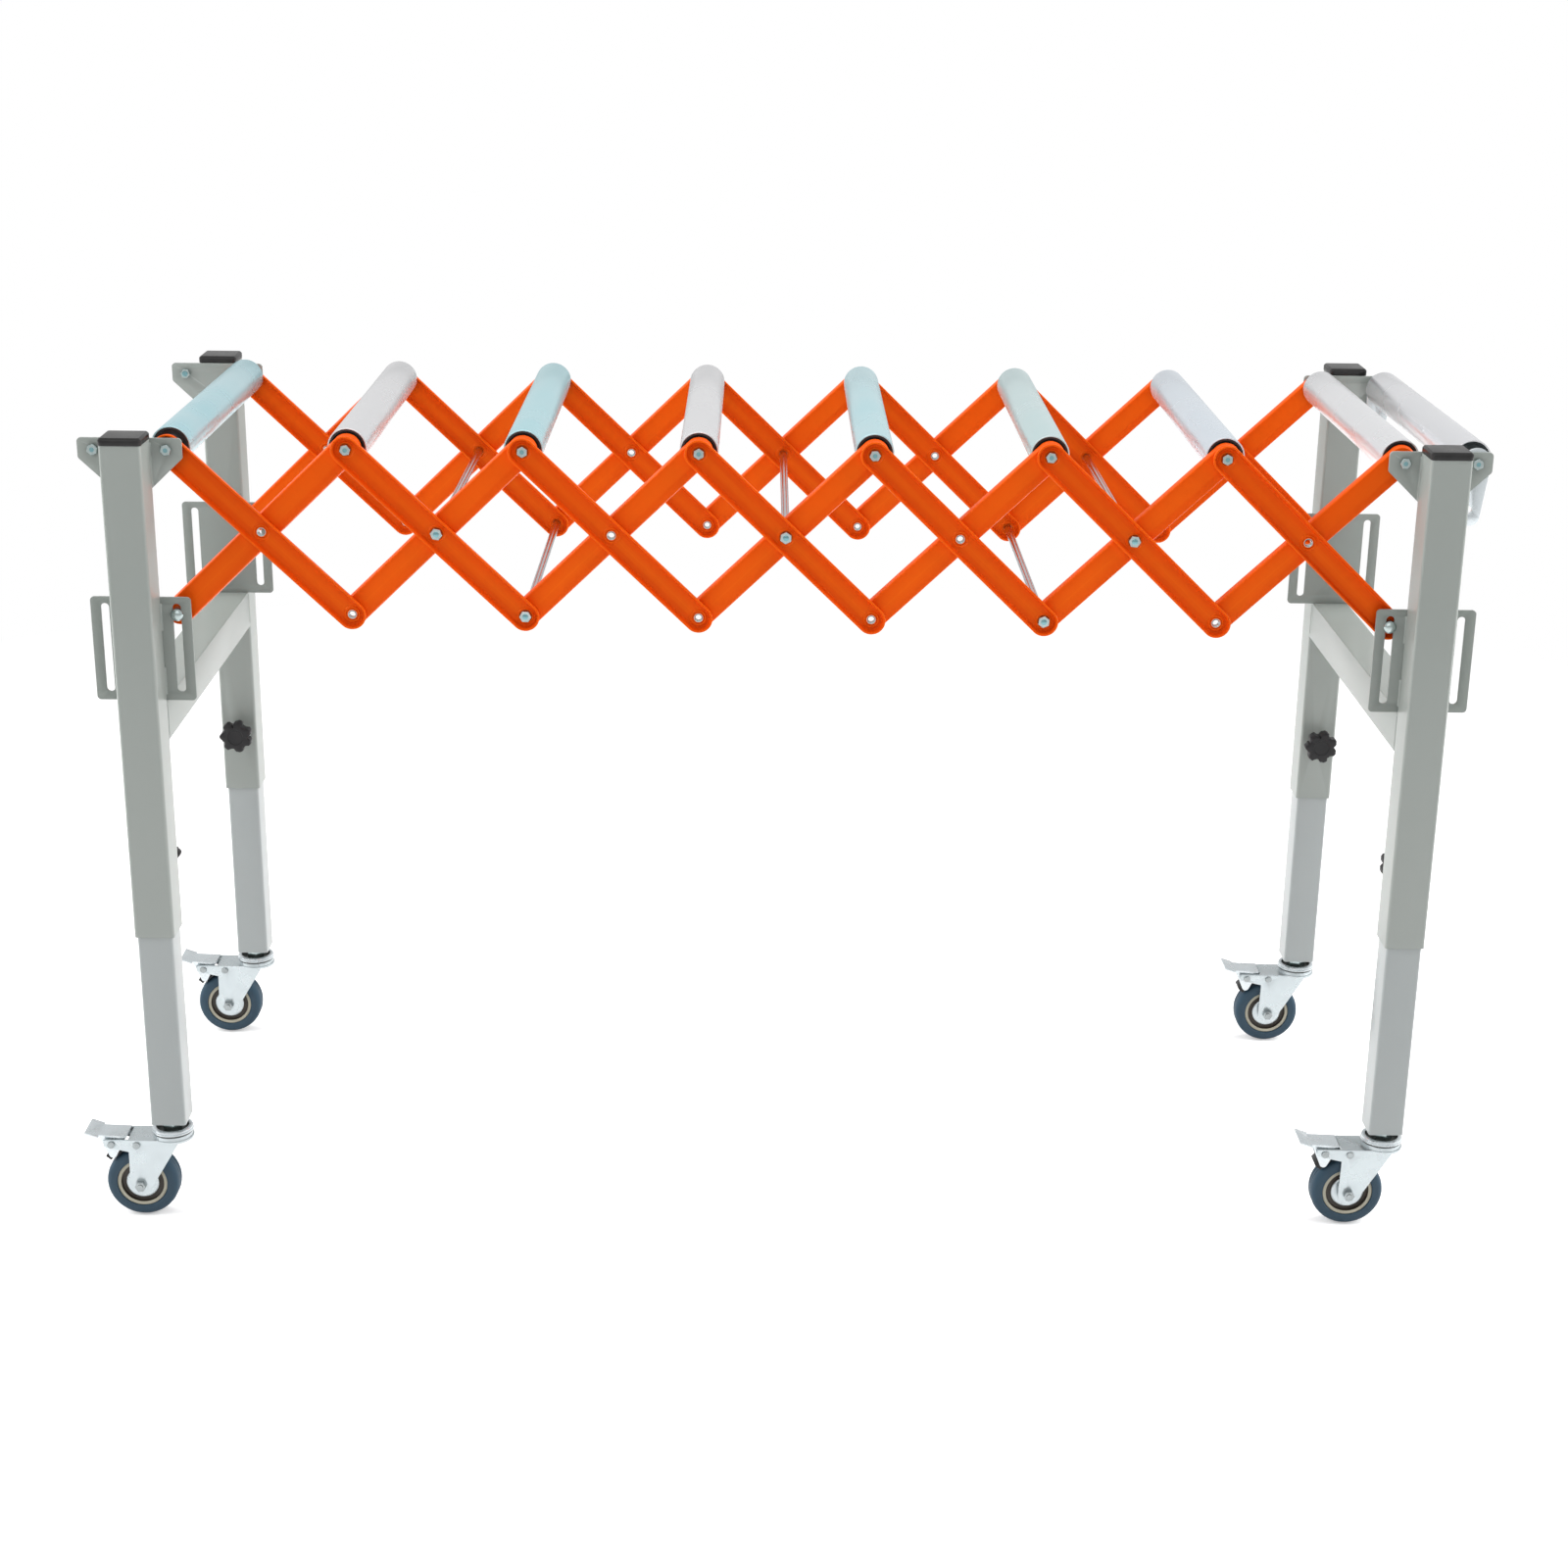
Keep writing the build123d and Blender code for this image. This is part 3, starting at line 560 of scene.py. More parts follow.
def joined(name: str, pieces: Sequence[Piece]) -> Piece:
    """Joins several pieces into one object.

    Args:
        name: Name of the whole.
        pieces: The pieces, which are used up.

    Returns:
        The joined object.
    """
    deselect()
    for piece in pieces:
        piece.select_set(True)
    bpy.context.view_layer.objects.active = pieces[0]
    bpy.ops.object.join()
    whole = bpy.context.object
    whole.name = name
    whole.data.name = name
    return whole


def discard(*pieces: Piece) -> None:
    """Deletes patterns that have been copied into place, with their meshes.

    Args:
        pieces: Objects to delete.
    """
    for piece in pieces:
        mesh = piece.data
        bpy.data.objects.remove(piece)
        bpy.data.meshes.remove(mesh)


def softened_copy(node: str, name: str, width: float) -> Piece:
    """Copies a CAD node, merges its loose triangles into faces and rounds its edges.

    Args:
        node: CAD node to copy.
        name: Name of the copy.
        width: Width of the rounding.

    Returns:
        The dressed copy.
    """
    made = copy_of(frame["nodes"][node], name, Matrix.Identity(4))
    made.data.materials.clear()
    with edited(made):
        bpy.ops.mesh.remove_doubles(threshold=MERGE_DISTANCE * MM)
        bpy.ops.mesh.dissolve_limited(angle_limit=math.radians(FLAT_ANGLE))
    bevel_edges(made, width, angle=40.0)
    smooth(made)
    return made


def at(x: float, y: float, z: float, turn: float = 0.0) -> Matrix:
    """Placement of a copy: a turn about the upright axis, in degrees, and then a move."""
    return Matrix.Translation((x * MM, y * MM, z * MM)) @ Matrix.Rotation(math.radians(turn), 4, "Z")


def axis_distance(point: Vector) -> float:
    """Distance of a point from the Y axis, on which round pieces are turned."""
    return math.hypot(point.x, point.z)


def paint(piece: Piece, finish: Finish, others: Optional[Finish] = None,
          on_others: Test = lambda middle: False) -> Piece:
    """Paints a piece, and the faces that a test picks in a second finish.

    Args:
        piece: Piece to paint.
        finish: Its main finish.
        others: Finish of the picked faces.
        on_others: Says of a face's middle whether it takes the second finish.

    Returns:
        The same piece.
    """
    piece.data.materials.clear()
    piece.data.materials.append(finish.material())
    if others:
        piece.data.materials.append(others.material())
        for face in piece.data.polygons:
            face.material_index = 1 if on_others(face.center / MM) else 0
    return piece


def dress(piece: Piece, finish: Optional[Finish], body: str, node: str = "") -> None:
    """Gives a finished piece its material and its body, and hides the CAD node that it stands for.

    Args:
        piece: Finished piece.
        finish: Its finish, or None where its faces are painted already.
        body: CAD body that it rides on.
        node: CAD node that it replaces, if any.
    """
    if finish:
        paint(piece, finish)
    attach(piece, body)
    if node:
        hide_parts(node)
    LOG.info("%s: %d faces on %s", piece.name, len(piece.data.polygons), body)


# Places read from the frame


def box_of(node: str) -> Tuple[Point, Point]:
    """Lowest and highest corner of a CAD node."""
    low, high = (tuple(value / MM for value in corner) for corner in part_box(node))
    return low, high


def frame_middle(side: Side) -> float:
    """Place along the bed of an end frame's leg line."""
    low, high = box_of(f"{side.value}_frame")
    return (low[0] + high[0]) / 2


def corners() -> Iterator[Tuple[str, Side, Row]]:
    """Goes through the four leg lines, those of the left end first.

    Yields:
        Name, end and side of each.
    """
    for side in Side:
        for row in Row:
            yield f"{row.value}_{side.value}", side, row


@dataclass
class Pivots:
    """Places of the joints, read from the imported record."""

    places: Dict[str, Vector] = field(default_factory=lambda: {
        joint["name"]: Vector(joint["pos_m"]) / MM for joint in frame["joints"] if "pos_m" in joint})

    def top(self, number: int) -> Vector:
        """Top pivot, from 1 at the left."""
        return self.places[f"roller_{number}_spin"]

    def low(self, number: int) -> Vector:
        """Bottom pivot, from 1 at the left."""
        return Vector((self.top(number).x, 0.0, self.places["low_pivot_3"].z))

    def middle(self, bay: int) -> Vector:
        """Middle pivot of a bay."""
        return (self.top(bay) + self.low(bay + 1)) / 2

    @property
    def fold(self) -> float:
        """Angle of a falling bar below the horizontal, in radians."""
        run = self.low(2) - self.top(1)
        return math.atan2(-run.z, run.x)

    @property
    def span(self) -> float:
        """Length of a bar from its first to its last pivot."""
        return (self.low(2) - self.top(1)).length


@dataclass
class Layers:
    """Distances from the bed's middle plane to the channel bars, in two layers back to back.

    On the near side the falling bars are the outer layer, on the far side the rising bars are.
    """

    outer_back: float = 198.4
    inner_back: float = 198.0
    gauge: float = 2.0

    @property
    def outer_floor(self) -> float:
        """Trough floor of the outer bars."""
        return self.outer_back + self.gauge


# Sub-assemblies


@dataclass
class ChannelBars:
    """Pressed channel bars of the scissor lattice, with embossed pivot bosses."""

    pivots: Pivots
    layers: Layers = field(default_factory=Layers)
    rim_radius: float = 13.95
    back_radius: float = 13.16
    depth: float = 7.95
    gauge: float = 1.95
    bend: float = 2.4
    axle_hole: float = 3.3
    rivet_hole: float = 4.3
    boss_radius: float = 8.8
    boss_top: float = 7.4
    boss_bore: float = 6.05
    boss_height: float = 1.1
    segments: int = 64

    def pattern(self) -> Piece:
        """Presses one bar: pivots on X, flat back on Y zero, trough towards -Y.

        Returns:
            The finished bar, to be copied.
        """
        back, rim, wall, depth, bend = self.back_radius, self.rim_radius, self.gauge, self.depth, self.bend
        flare, inner = rim - back, rim - wall
        bar = turned("bar_pattern", [
            (back - bend, 0.0), (back - 0.9, -0.25), (back - 0.25, -0.9), (back + 0.3 * flare, -bend),
            (rim, 0.5 - depth), (rim - 0.35, -depth), (inner + 0.35, -depth), (inner, 0.5 - depth),
            (back - wall + 0.25 * flare, -bend - 0.9 * wall), (back - wall - 0.5, -wall - 0.7),
            (back - wall - 1.4, -wall)],
            self.segments, place=Matrix.Rotation(math.pi / self.segments, 4, "Y"))
        half = self.pivots.span / 2
        with edited(bar):
            for hand in (-1, 1):
                pick(bar, Element.VERTICES, lambda p, h=hand: p.x * h > 0)
                slide(hand * half, 0, 0)
        holes = ((-half, self.axle_hole), (0.0, self.rivet_hole), (half, self.rivet_hole))
        cutter = joined("drill", [
            turned("drill", [(radius, depth), (radius, -depth)], 32, place=at(x, 0, 0))
            for x, radius in holes])
        modify(bar, "BOOLEAN", object=cutter, operation="DIFFERENCE")
        discard(cutter)
        smooth(bar)
        return joined("bar_pattern", [bar, *(self._boss(x) for x, _ in holes)])

    def _boss(self, x: float) -> Piece:
        """Embossed ring round one pivot hole, standing in the trough.

        Args:
            x: Place along the bar.

        Returns:
            The boss.
        """
        floor, top = 0.05 - self.gauge, -self.gauge - self.boss_height
        return turned("boss", [
            (self.boss_radius, floor), (self.boss_radius - 0.5, floor - 0.45), (self.boss_top, top),
            (self.boss_bore + 0.3, top), (self.boss_bore, top + 0.3), (self.boss_bore, floor)],
            40, ring=True, place=at(x, 0, 0))

    def build(self) -> None:
        """Copies the bar into all of the lattice's places."""
        pattern = self.pattern()
        fold, outer, inner = self.pivots.fold, self.layers.outer_back, self.layers.inner_back
        kinds = (
            ("falling", Matrix.Rotation(fold, 4, "Y"), (-outer, inner)),
            ("rising", Matrix.Rotation(-fold, 4, "Y") @ Matrix.Rotation(math.pi, 4, "Z"), (-inner, outer)))
        for bay in range(1, BAYS + 1):
            middle = self.pivots.middle(bay)
            for kind, turn, backs in kinds:
                for row, back in zip(Row, backs):
                    place = at(middle.x, back, middle.z) @ turn
                    bar = copy_of(pattern, f"{kind}_bar_{bay}_{row.value}", place)
                    dress(bar, LATTICE_ORANGE, f"{kind}_{bay}", f"{kind}_bars_{bay}")
        discard(pattern)


@dataclass
class PivotHardware:
    """Rivets, tie rods, roller axles, slot pins and their nuts."""

    pivots: Pivots
    layers: Layers = field(default_factory=Layers)
    axle_radius: float = 3.0
    rod_radius: float = 4.0
    thread_pitch: float = 0.8
    thread_turns: int = 5
    nut_flats: float = 10.0
    rod_nut_flats: float = 11.0
    nut_height: float = 4.2
    tail: float = 1.4
    tip: float = 1.5
    gap: float = 0.3
    seat: float = 0.05
    rivet_bore: float = 3.0
    rivet_barrel: float = 4.0
    rivet_lip: float = 5.5
    rivet_low: float = -2.25
    rivet_high: float = 2.5
    spacer_radius: float = 6.0
    plate_inner: float = 207.0
    plate_gauge: float = 3.0
    ear_gauge: float = 3.0
    hook_room: float = 4.1
    pin_radius: float = 3.7
    pin_collar: float = 6.0
    pin_head_radius: float = 6.2
    pin_head_height: float = 3.2
    chance: random.Random = field(default_factory=lambda: random.Random(7))

    def rod(self, radius: float, start: float, end: float) -> Piece:
        """A round rod on the Y axis with threaded, chamfered ends.

        Args:
            radius: Radius of the rod.
            start: Y of its lower end.
            end: Y of its upper end.

        Returns:
            The rod.
        """
        root, pitch, thread = radius * 0.88, self.thread_pitch, start + 0.4
        steps: List[Step] = [(radius * 0.72, start), (root, start + 0.35)]
        for turn in range(self.thread_turns):
            steps += [(radius, thread + (turn + 0.35) * pitch), (root, thread + (turn + 0.85) * pitch)]
        steps.append((radius, thread + (self.thread_turns + 0.4) * pitch))
        steps += [(step_radius, start + end - y) for step_radius, y in reversed(steps)]
        middle, reach = (start + end) / 2, (end - start) / 2 - self.tip
        return paint(turned("rod", steps, 28), ROD_STEEL, TIP_ZINC, lambda p: abs(p.y - middle) > reach)

    def nut(self, start: float, height: float, flats: float) -> Piece:
        """A nut, turned as it happened to stop."""
        return hexagon("nut", flats, start, height, self.chance.uniform(0, 60))

    def bolt(self, near: float, far: float, flats: float, radius: float) -> List[Piece]:
        """A rod across the bed with a nut at each end.

        Args:
            near: Y of the face that the near nut sits on.
            far: Y of the face that the far nut sits on.
            flats: Width across flats.
            radius: Radius of the rod.

        Returns:
            The rod and its two nuts.
        """
        start, end = near - self.nut_height - self.seat, far + self.nut_height + self.tail
        return [self.rod(radius, start, end), self.nut(near, -self.nut_height, flats),
                self.nut(far, self.nut_height, flats)]

    def axle(self, near: float, far: float) -> List[Piece]:
        """A roller axle with its nuts, between two faces."""
        return self.bolt(near, far, self.nut_flats, self.axle_radius)

    def eyelet(self) -> Piece:
        """Hollow rivet about Y zero, through both webs, with rolled lips.

        Returns:
            The rivet, bright only where the paint is worn off its lips.
        """
        bore, barrel, lip = self.rivet_bore, self.rivet_barrel, self.rivet_lip
        rim = bore + 1.4
        roll = [(barrel, 0.0), (lip, 0.0), (lip + 0.1, 0.4), (lip - 0.6, 0.95), (rim, 0.95),
                (bore + 0.9, 0.95), (bore, 0.2)]
        steps = [(radius, self.rivet_low - y) for radius, y in roll]
        steps += [(radius, self.rivet_high + y) for radius, y in reversed(roll)]
        return paint(turned("eyelet", steps, 32, ring=True), BOLT_ZINC, LATTICE_ORANGE,
                     lambda p: axis_distance(p) > rim)

    def spacer(self, start: float, end: float) -> Piece:
        """A sleeve round an axle.

        Args:
            start: Y of its lower end.
            end: Y of its upper end.

        Returns:
            The sleeve.
        """
        bore, outer, edge = self.axle_radius + self.seat, self.spacer_radius, 0.3
        return turned("spacer", [
            (bore, start), (outer - edge, start), (outer, start + edge), (outer, end - edge),
            (outer - edge, end), (bore, end)], 32, ring=True)

    def slot_pin(self, web_face: float) -> List[Piece]:
        """A slot pin from the near slot plate's inner face at Y zero, with its domed head.

        Args:
            web_face: Distance to the bar's web.

        Returns:
            The pin and its nut.
        """
        head = -self.plate_gauge - self.gap
        nut_start = web_face + self.layers.gauge + self.seat
        tail = nut_start + self.nut_height + self.tail
        dome = ((0.30, 1.0), (0.62, 0.86), (0.86, 0.55), (1.0, 0.15), (1.0, 0.0))
        pin, collar, web = self.pin_radius, self.pin_collar, web_face - self.seat
        steps = [(self.pin_head_radius * out, head - self.pin_head_height * up) for out, up in dome]
        steps += [(pin, head), (pin, self.gap), (collar, self.gap), (collar, web), (pin, web),
                  (pin, tail - 0.4), (pin * 0.75, tail)]
        return [turned("slot_pin", steps, 36), self.nut(nut_start, self.nut_height, self.nut_flats)]

    def build(self) -> None:
        """Makes every pivot's hardware and fits it over its CAD node."""
        layers, pivots = self.layers, self.pivots
        seats = -layers.outer_floor - self.seat, layers.outer_floor + self.gap
        web_middle = (layers.inner_back + layers.outer_back) / 2
        to_back = self.plate_inner - layers.inner_back
        to_floor = self.plate_inner - layers.outer_floor
        for bay in range(1, BAYS + 1):
            pieces = self._moved(self.axle(*seats), pivots.top(bay)) if bay > 1 else []
            spots = [(bay in TIED_MIDDLES, pivots.middle(bay))]
            if bay < BAYS:
                spots.append((bay + 1 in TIED_LOWS, pivots.low(bay + 1)))
            for tied, spot in spots:
                if tied:
                    pieces += self._moved(self.bolt(*seats, self.rod_nut_flats, self.rod_radius), spot)
                else:
                    for row in Row:
                        across = Vector((0, row.hand * web_middle, 0))
                        pieces += self._moved([self.eyelet()], spot + across)
            if bay == BAYS:
                pieces += self._slot_pins(pivots.low(BAYS + 1), to_floor, to_back)
            whole = joined(f"pivot_steel_{bay}", pieces)
            dress(whole, None, f"falling_{bay}", f"pivot_set_{bay}")
        pins = self._slot_pins(pivots.low(1), to_back, to_floor)
        dress(joined("left_slot_pins", pins), None, "rising_1", "rising_bars_1")
        self._frame_axles()

    def _moved(self, pieces: List[Piece], spot: Vector, turn: float = 0.0) -> List[Piece]:
        """Moves pieces to a pivot, in their meshes, and paints those that are bare.

        Args:
            pieces: Pieces about the Y axis.
            spot: The pivot.
            turn: Turn about the upright axis, in degrees.

        Returns:
            The same pieces.
        """
        for piece in pieces:
            piece.data.transform(at(*spot, turn))
            if not piece.data.materials:
                paint(piece, BOLT_ZINC)
        return pieces

    def _slot_pins(self, spot: Vector, near_web: float, far_web: float) -> List[Piece]:
        """Slot pins in both slot plates of an end frame.

        Args:
            spot: Their pivot.
            near_web: Distance from the near slot plate to the bar's web.
            far_web: Distance from the far slot plate to the bar's web.

        Returns:
            The pins and their nuts.
        """
        across = Vector((0, self.plate_inner, 0))
        pins = self._moved(self.slot_pin(near_web), spot - across)
        return pins + self._moved(self.slot_pin(far_web), spot + across, Row.FAR.turn)

    def _frame_axles(self) -> None:
        """Axles, spacers and spare bolts that the end frames hold."""
        outer_bar, inner_bar = self.layers.outer_back - self.gap, self.layers.inner_back + self.gap
        roller = ROLLER_END + self.gap
        plate = self.plate_inner - self.gap
        hook = self.plate_inner - self.hook_room
        left = self._held_axle(1, (-outer_bar, -roller), (inner_bar, plate))
        first = self.pivots.top(1)
        spare_x = 2 * frame_middle(Side.LEFT) - first.x
        spare_seat = self.ear_gauge / 2 + self.seat
        for row in Row:
            spot = Vector((spare_x, row.hand * (TUBE_FACE - self.ear_gauge / 2), first.z))
            left += self._moved(self.axle(-spare_seat, spare_seat), spot, row.turn)
        dress(joined("left_axle_steel", left), None, "left_frame", "left_axle_set")
        right = self._held_axle(BAYS + 1, (-plate, -inner_bar), (roller, outer_bar))
        right += self._held_axle(BAYS + 2, (-hook, -roller), (roller, hook))
        dress(joined("right_axle_steel", right), None, "right_frame", "right_axle_set")

    def _held_axle(self, number: int, *spans: Step) -> List[Piece]:
        """An axle that an end frame holds, with its nuts and spacers.

        Args:
            number: Number of its roller.
            spans: First and last y of each spacer.

        Returns:
            The axle, its nuts and its spacers.
        """
        end = TUBE_FACE + self.seat
        pieces = self.axle(-end, end) + [self.spacer(low, high) for low, high in spans]
        return self._moved(pieces, self.pivots.top(number))


@dataclass
class Rollers:
    """Chromed idle rollers with black bearing housings."""

    pivots: Pivots
    radius: float = 19.0
    wall: float = 1.5
    edge: float = 0.6
    housing_radius: float = 17.45
    housing_depth: float = 12.0
    recess: float = 0.4
    bore: float = 3.3

    def tube(self) -> Piece:
        """Roller tube with rounded ends.

        Returns:
            The tube, centred on Y zero.
        """
        end, edge, outer, inner = -ROLLER_END, self.edge, self.radius, self.radius - self.wall
        outside = both_sides([
            (inner + 0.2, end), (outer - edge, end), (outer - 0.18 * edge, end + 0.3 * edge),
            (outer, end + edge)])
        return turned("tube", [*outside, (inner, -end - 0.2), (inner, end + 0.2)], 72, ring=True)

    def housing(self) -> Piece:
        """Bearing housing: rim, dished web, raised seat and a sealed bearing.

        Returns:
            The housing of the -Y end.
        """
        face, edge, bore = self.recess - ROLLER_END, self.housing_radius, self.bore
        back = face + self.housing_depth
        return turned("housing", [
            (bore, face + 1.2), (bore + 1.6, face + 1.0), (bore + 2.0, face + 0.5), (9.0, face + 0.5),
            (9.4, face + 0.9), (9.6, face + 2.2), (11.0, face + 2.6), (14.6, face + 1.5),
            (15.4, face + 0.3), (15.8, face), (edge - 0.4, face), (edge, face + 0.4), (edge, back),
            (bore, back)], 56, ring=True)

    def build(self) -> None:
        """Copies the roller onto its nine axles."""
        tube, housing = self.tube(), self.housing()
        for number in range(1, BAYS + 3):
            spot = self.pivots.top(number)
            node = f"roller_{number}"
            outer = copy_of(tube, f"roller_tube_{number}", at(*spot))
            ends = [copy_of(housing, "housing_end", at(spot.x, 0, spot.z, row.turn)) for row in Row]
            inner = joined(f"roller_housings_{number}", ends)
            dress(outer, roller_finish(number), node, node)
            dress(inner, HOUSING_PLASTIC, node, node)
        discard(tube, housing)


@dataclass
class EndFrames:
    """Welded end frames with their slot plates, caps and weld beads."""

    tube_side: float = 40.0
    bead_radius: float = 1.7
    bead_step: float = 2.2
    ear_bead: Step = (48.0, 4.0)  # from the top of the tube down to the ends of an ear's bead
    plate_bead: Step = (6.0, 34.0)  # from an end of the slot plate to the ends of a bead on it
    beam_bead: float = 32.0
    beam_gap: float = 3.0  # left free at both ends of the beam's upright beads
    tube_edge: float = 0.45
    plate_edge: float = 0.5
    cap_corner: float = 4.0
    cap_height: float = 7.5
    cap_panel: float = 2.0
    cap_slope: float = 2.0
    plug_gap: float = 2.3

    def bead(self, length: float, place: Matrix) -> Piece:
        """A rippled weld bead.

        Args:
            length: Length of the bead.
            place: Where it starts, with the Y axis along it.

        Returns:
            The bead.
        """
        count = max(3, round(length / self.bead_step))
        step, end_radius = length / count, self.bead_radius * 0.35
        steps: List[Step] = [(end_radius, 0.0)]
        for ripple in range(count):
            steps.append((self.bead_radius, (ripple + 0.35) * step))
            steps.append((self.bead_radius * 0.86, (ripple + 0.92) * step))
        return turned("bead", [*steps, (end_radius, length)], 12, place=place)

    def beads(self, side: Side) -> Piece:
        """All weld beads of one end frame: ears, slot plates and beam.

        Args:
            side: Which end frame.

        Returns:
            The beads, joined.
        """
        middle, half = frame_middle(side), self.tube_side / 2
        (_, _, plates_low), (_, _, plates_high) = box_of(f"{side.value}_slot_plates")
        top = box_of(f"{side.value}_frame")[1][2]
        beam_low = plates_low - self.tube_side
        start, end = self.plate_bead
        spans = (
            (top - self.ear_bead[0], top - self.ear_bead[1]), (plates_low + start, plates_low + end),
            (plates_high - end, plates_high - start))
        upright = Matrix.Rotation(math.pi / 2, 4, "X")
        pieces: List[Piece] = []
        for row in Row:
            for hand in (-1, 1):
                x, y = middle + hand * (half - 0.7), row.hand * (TUBE_FACE + 0.6)
                pieces += [self.bead(high - low, at(x, y, low) @ upright) for low, high in spans]
                x, y = middle + hand * (half - 1.0), row.hand * TUBE_FACE
                foot = at(x, y, beam_low + self.beam_gap)
                pieces.append(self.bead(self.tube_side - 2 * self.beam_gap, foot @ upright))
            for level in (beam_low + 0.3, plates_low - 0.5):
                place = at(middle + self.beam_bead / 2, row.hand * (TUBE_FACE - 0.4), level, 90)
                pieces.append(self.bead(self.beam_bead, place))
        return joined(f"{side.value}_weld_beads", pieces)

    def cap(self, name: str, low: Point, high: Point) -> Piece:
        """Moulded cap with eased edges, a raised panel on top and its plug in the tube.

        Args:
            name: Name of the cap.
            low: Lowest corner of the cap's CAD solid.
            high: Highest corner.

        Returns:
            The cap.
        """
        top, rim = high[2] - 0.1, high[2] - self.cap_height
        x, y = (low[0] + high[0]) / 2, (low[1] + high[1]) / 2
        panel = (high[0] - low[0]) / 2 - self.cap_panel / 2
        cap = block(name, (low[0], low[1], rim), high, self.cap_corner)
        with edited(cap):
            pick(cap, Element.FACES, lambda p: p.z > top)
            bpy.ops.mesh.inset(thickness=self.cap_panel * MM)
            pick(cap, Element.VERTICES,
                 lambda p: p.z > top and max(abs(p.x - x), abs(p.y - y)) > panel)
            slide(0, 0, -self.cap_slope)
        bevel_edges(cap, 0.6, 3, 20.0)
        smooth(cap, 40.0)
        gap = self.plug_gap
        plug = block(
            "plug", (low[0] + gap, low[1] + gap, low[2]), (high[0] - gap, high[1] - gap, rim + 0.5), 1.2)
        bevel_edges(plug, 0.4)
        return joined(name, [cap, plug])

    def build(self) -> None:
        """Dresses both end frames."""
        for side in Side:
            name, body = side.value, f"{side.value}_frame"
            steel = softened_copy(body, f"{name}_welded_tubes", self.tube_edge)
            dress(steel, FRAME_GREY, body, body)
            plates = softened_copy(f"{name}_slot_plates", f"{name}_slotted_plates", self.plate_edge)
            # The slot plates take the frame grey darkened as painted shade.
            dress(plates, SHADED_PLATE_GREY, body, f"{name}_slot_plates")
            dress(self.beads(side), FRAME_GREY, body)
            low, high = box_of(f"{name}_caps")
            width = high[0] - low[0]
            for row, y in zip(Row, (low[1], high[1] - width)):
                near, far = (low[0], y, low[2]), (high[0], y + width, high[2])
                cap = self.cap(f"{name}_cap_{row.value}", near, far)
                dress(cap, CAP_PLASTIC, body, f"{name}_caps")


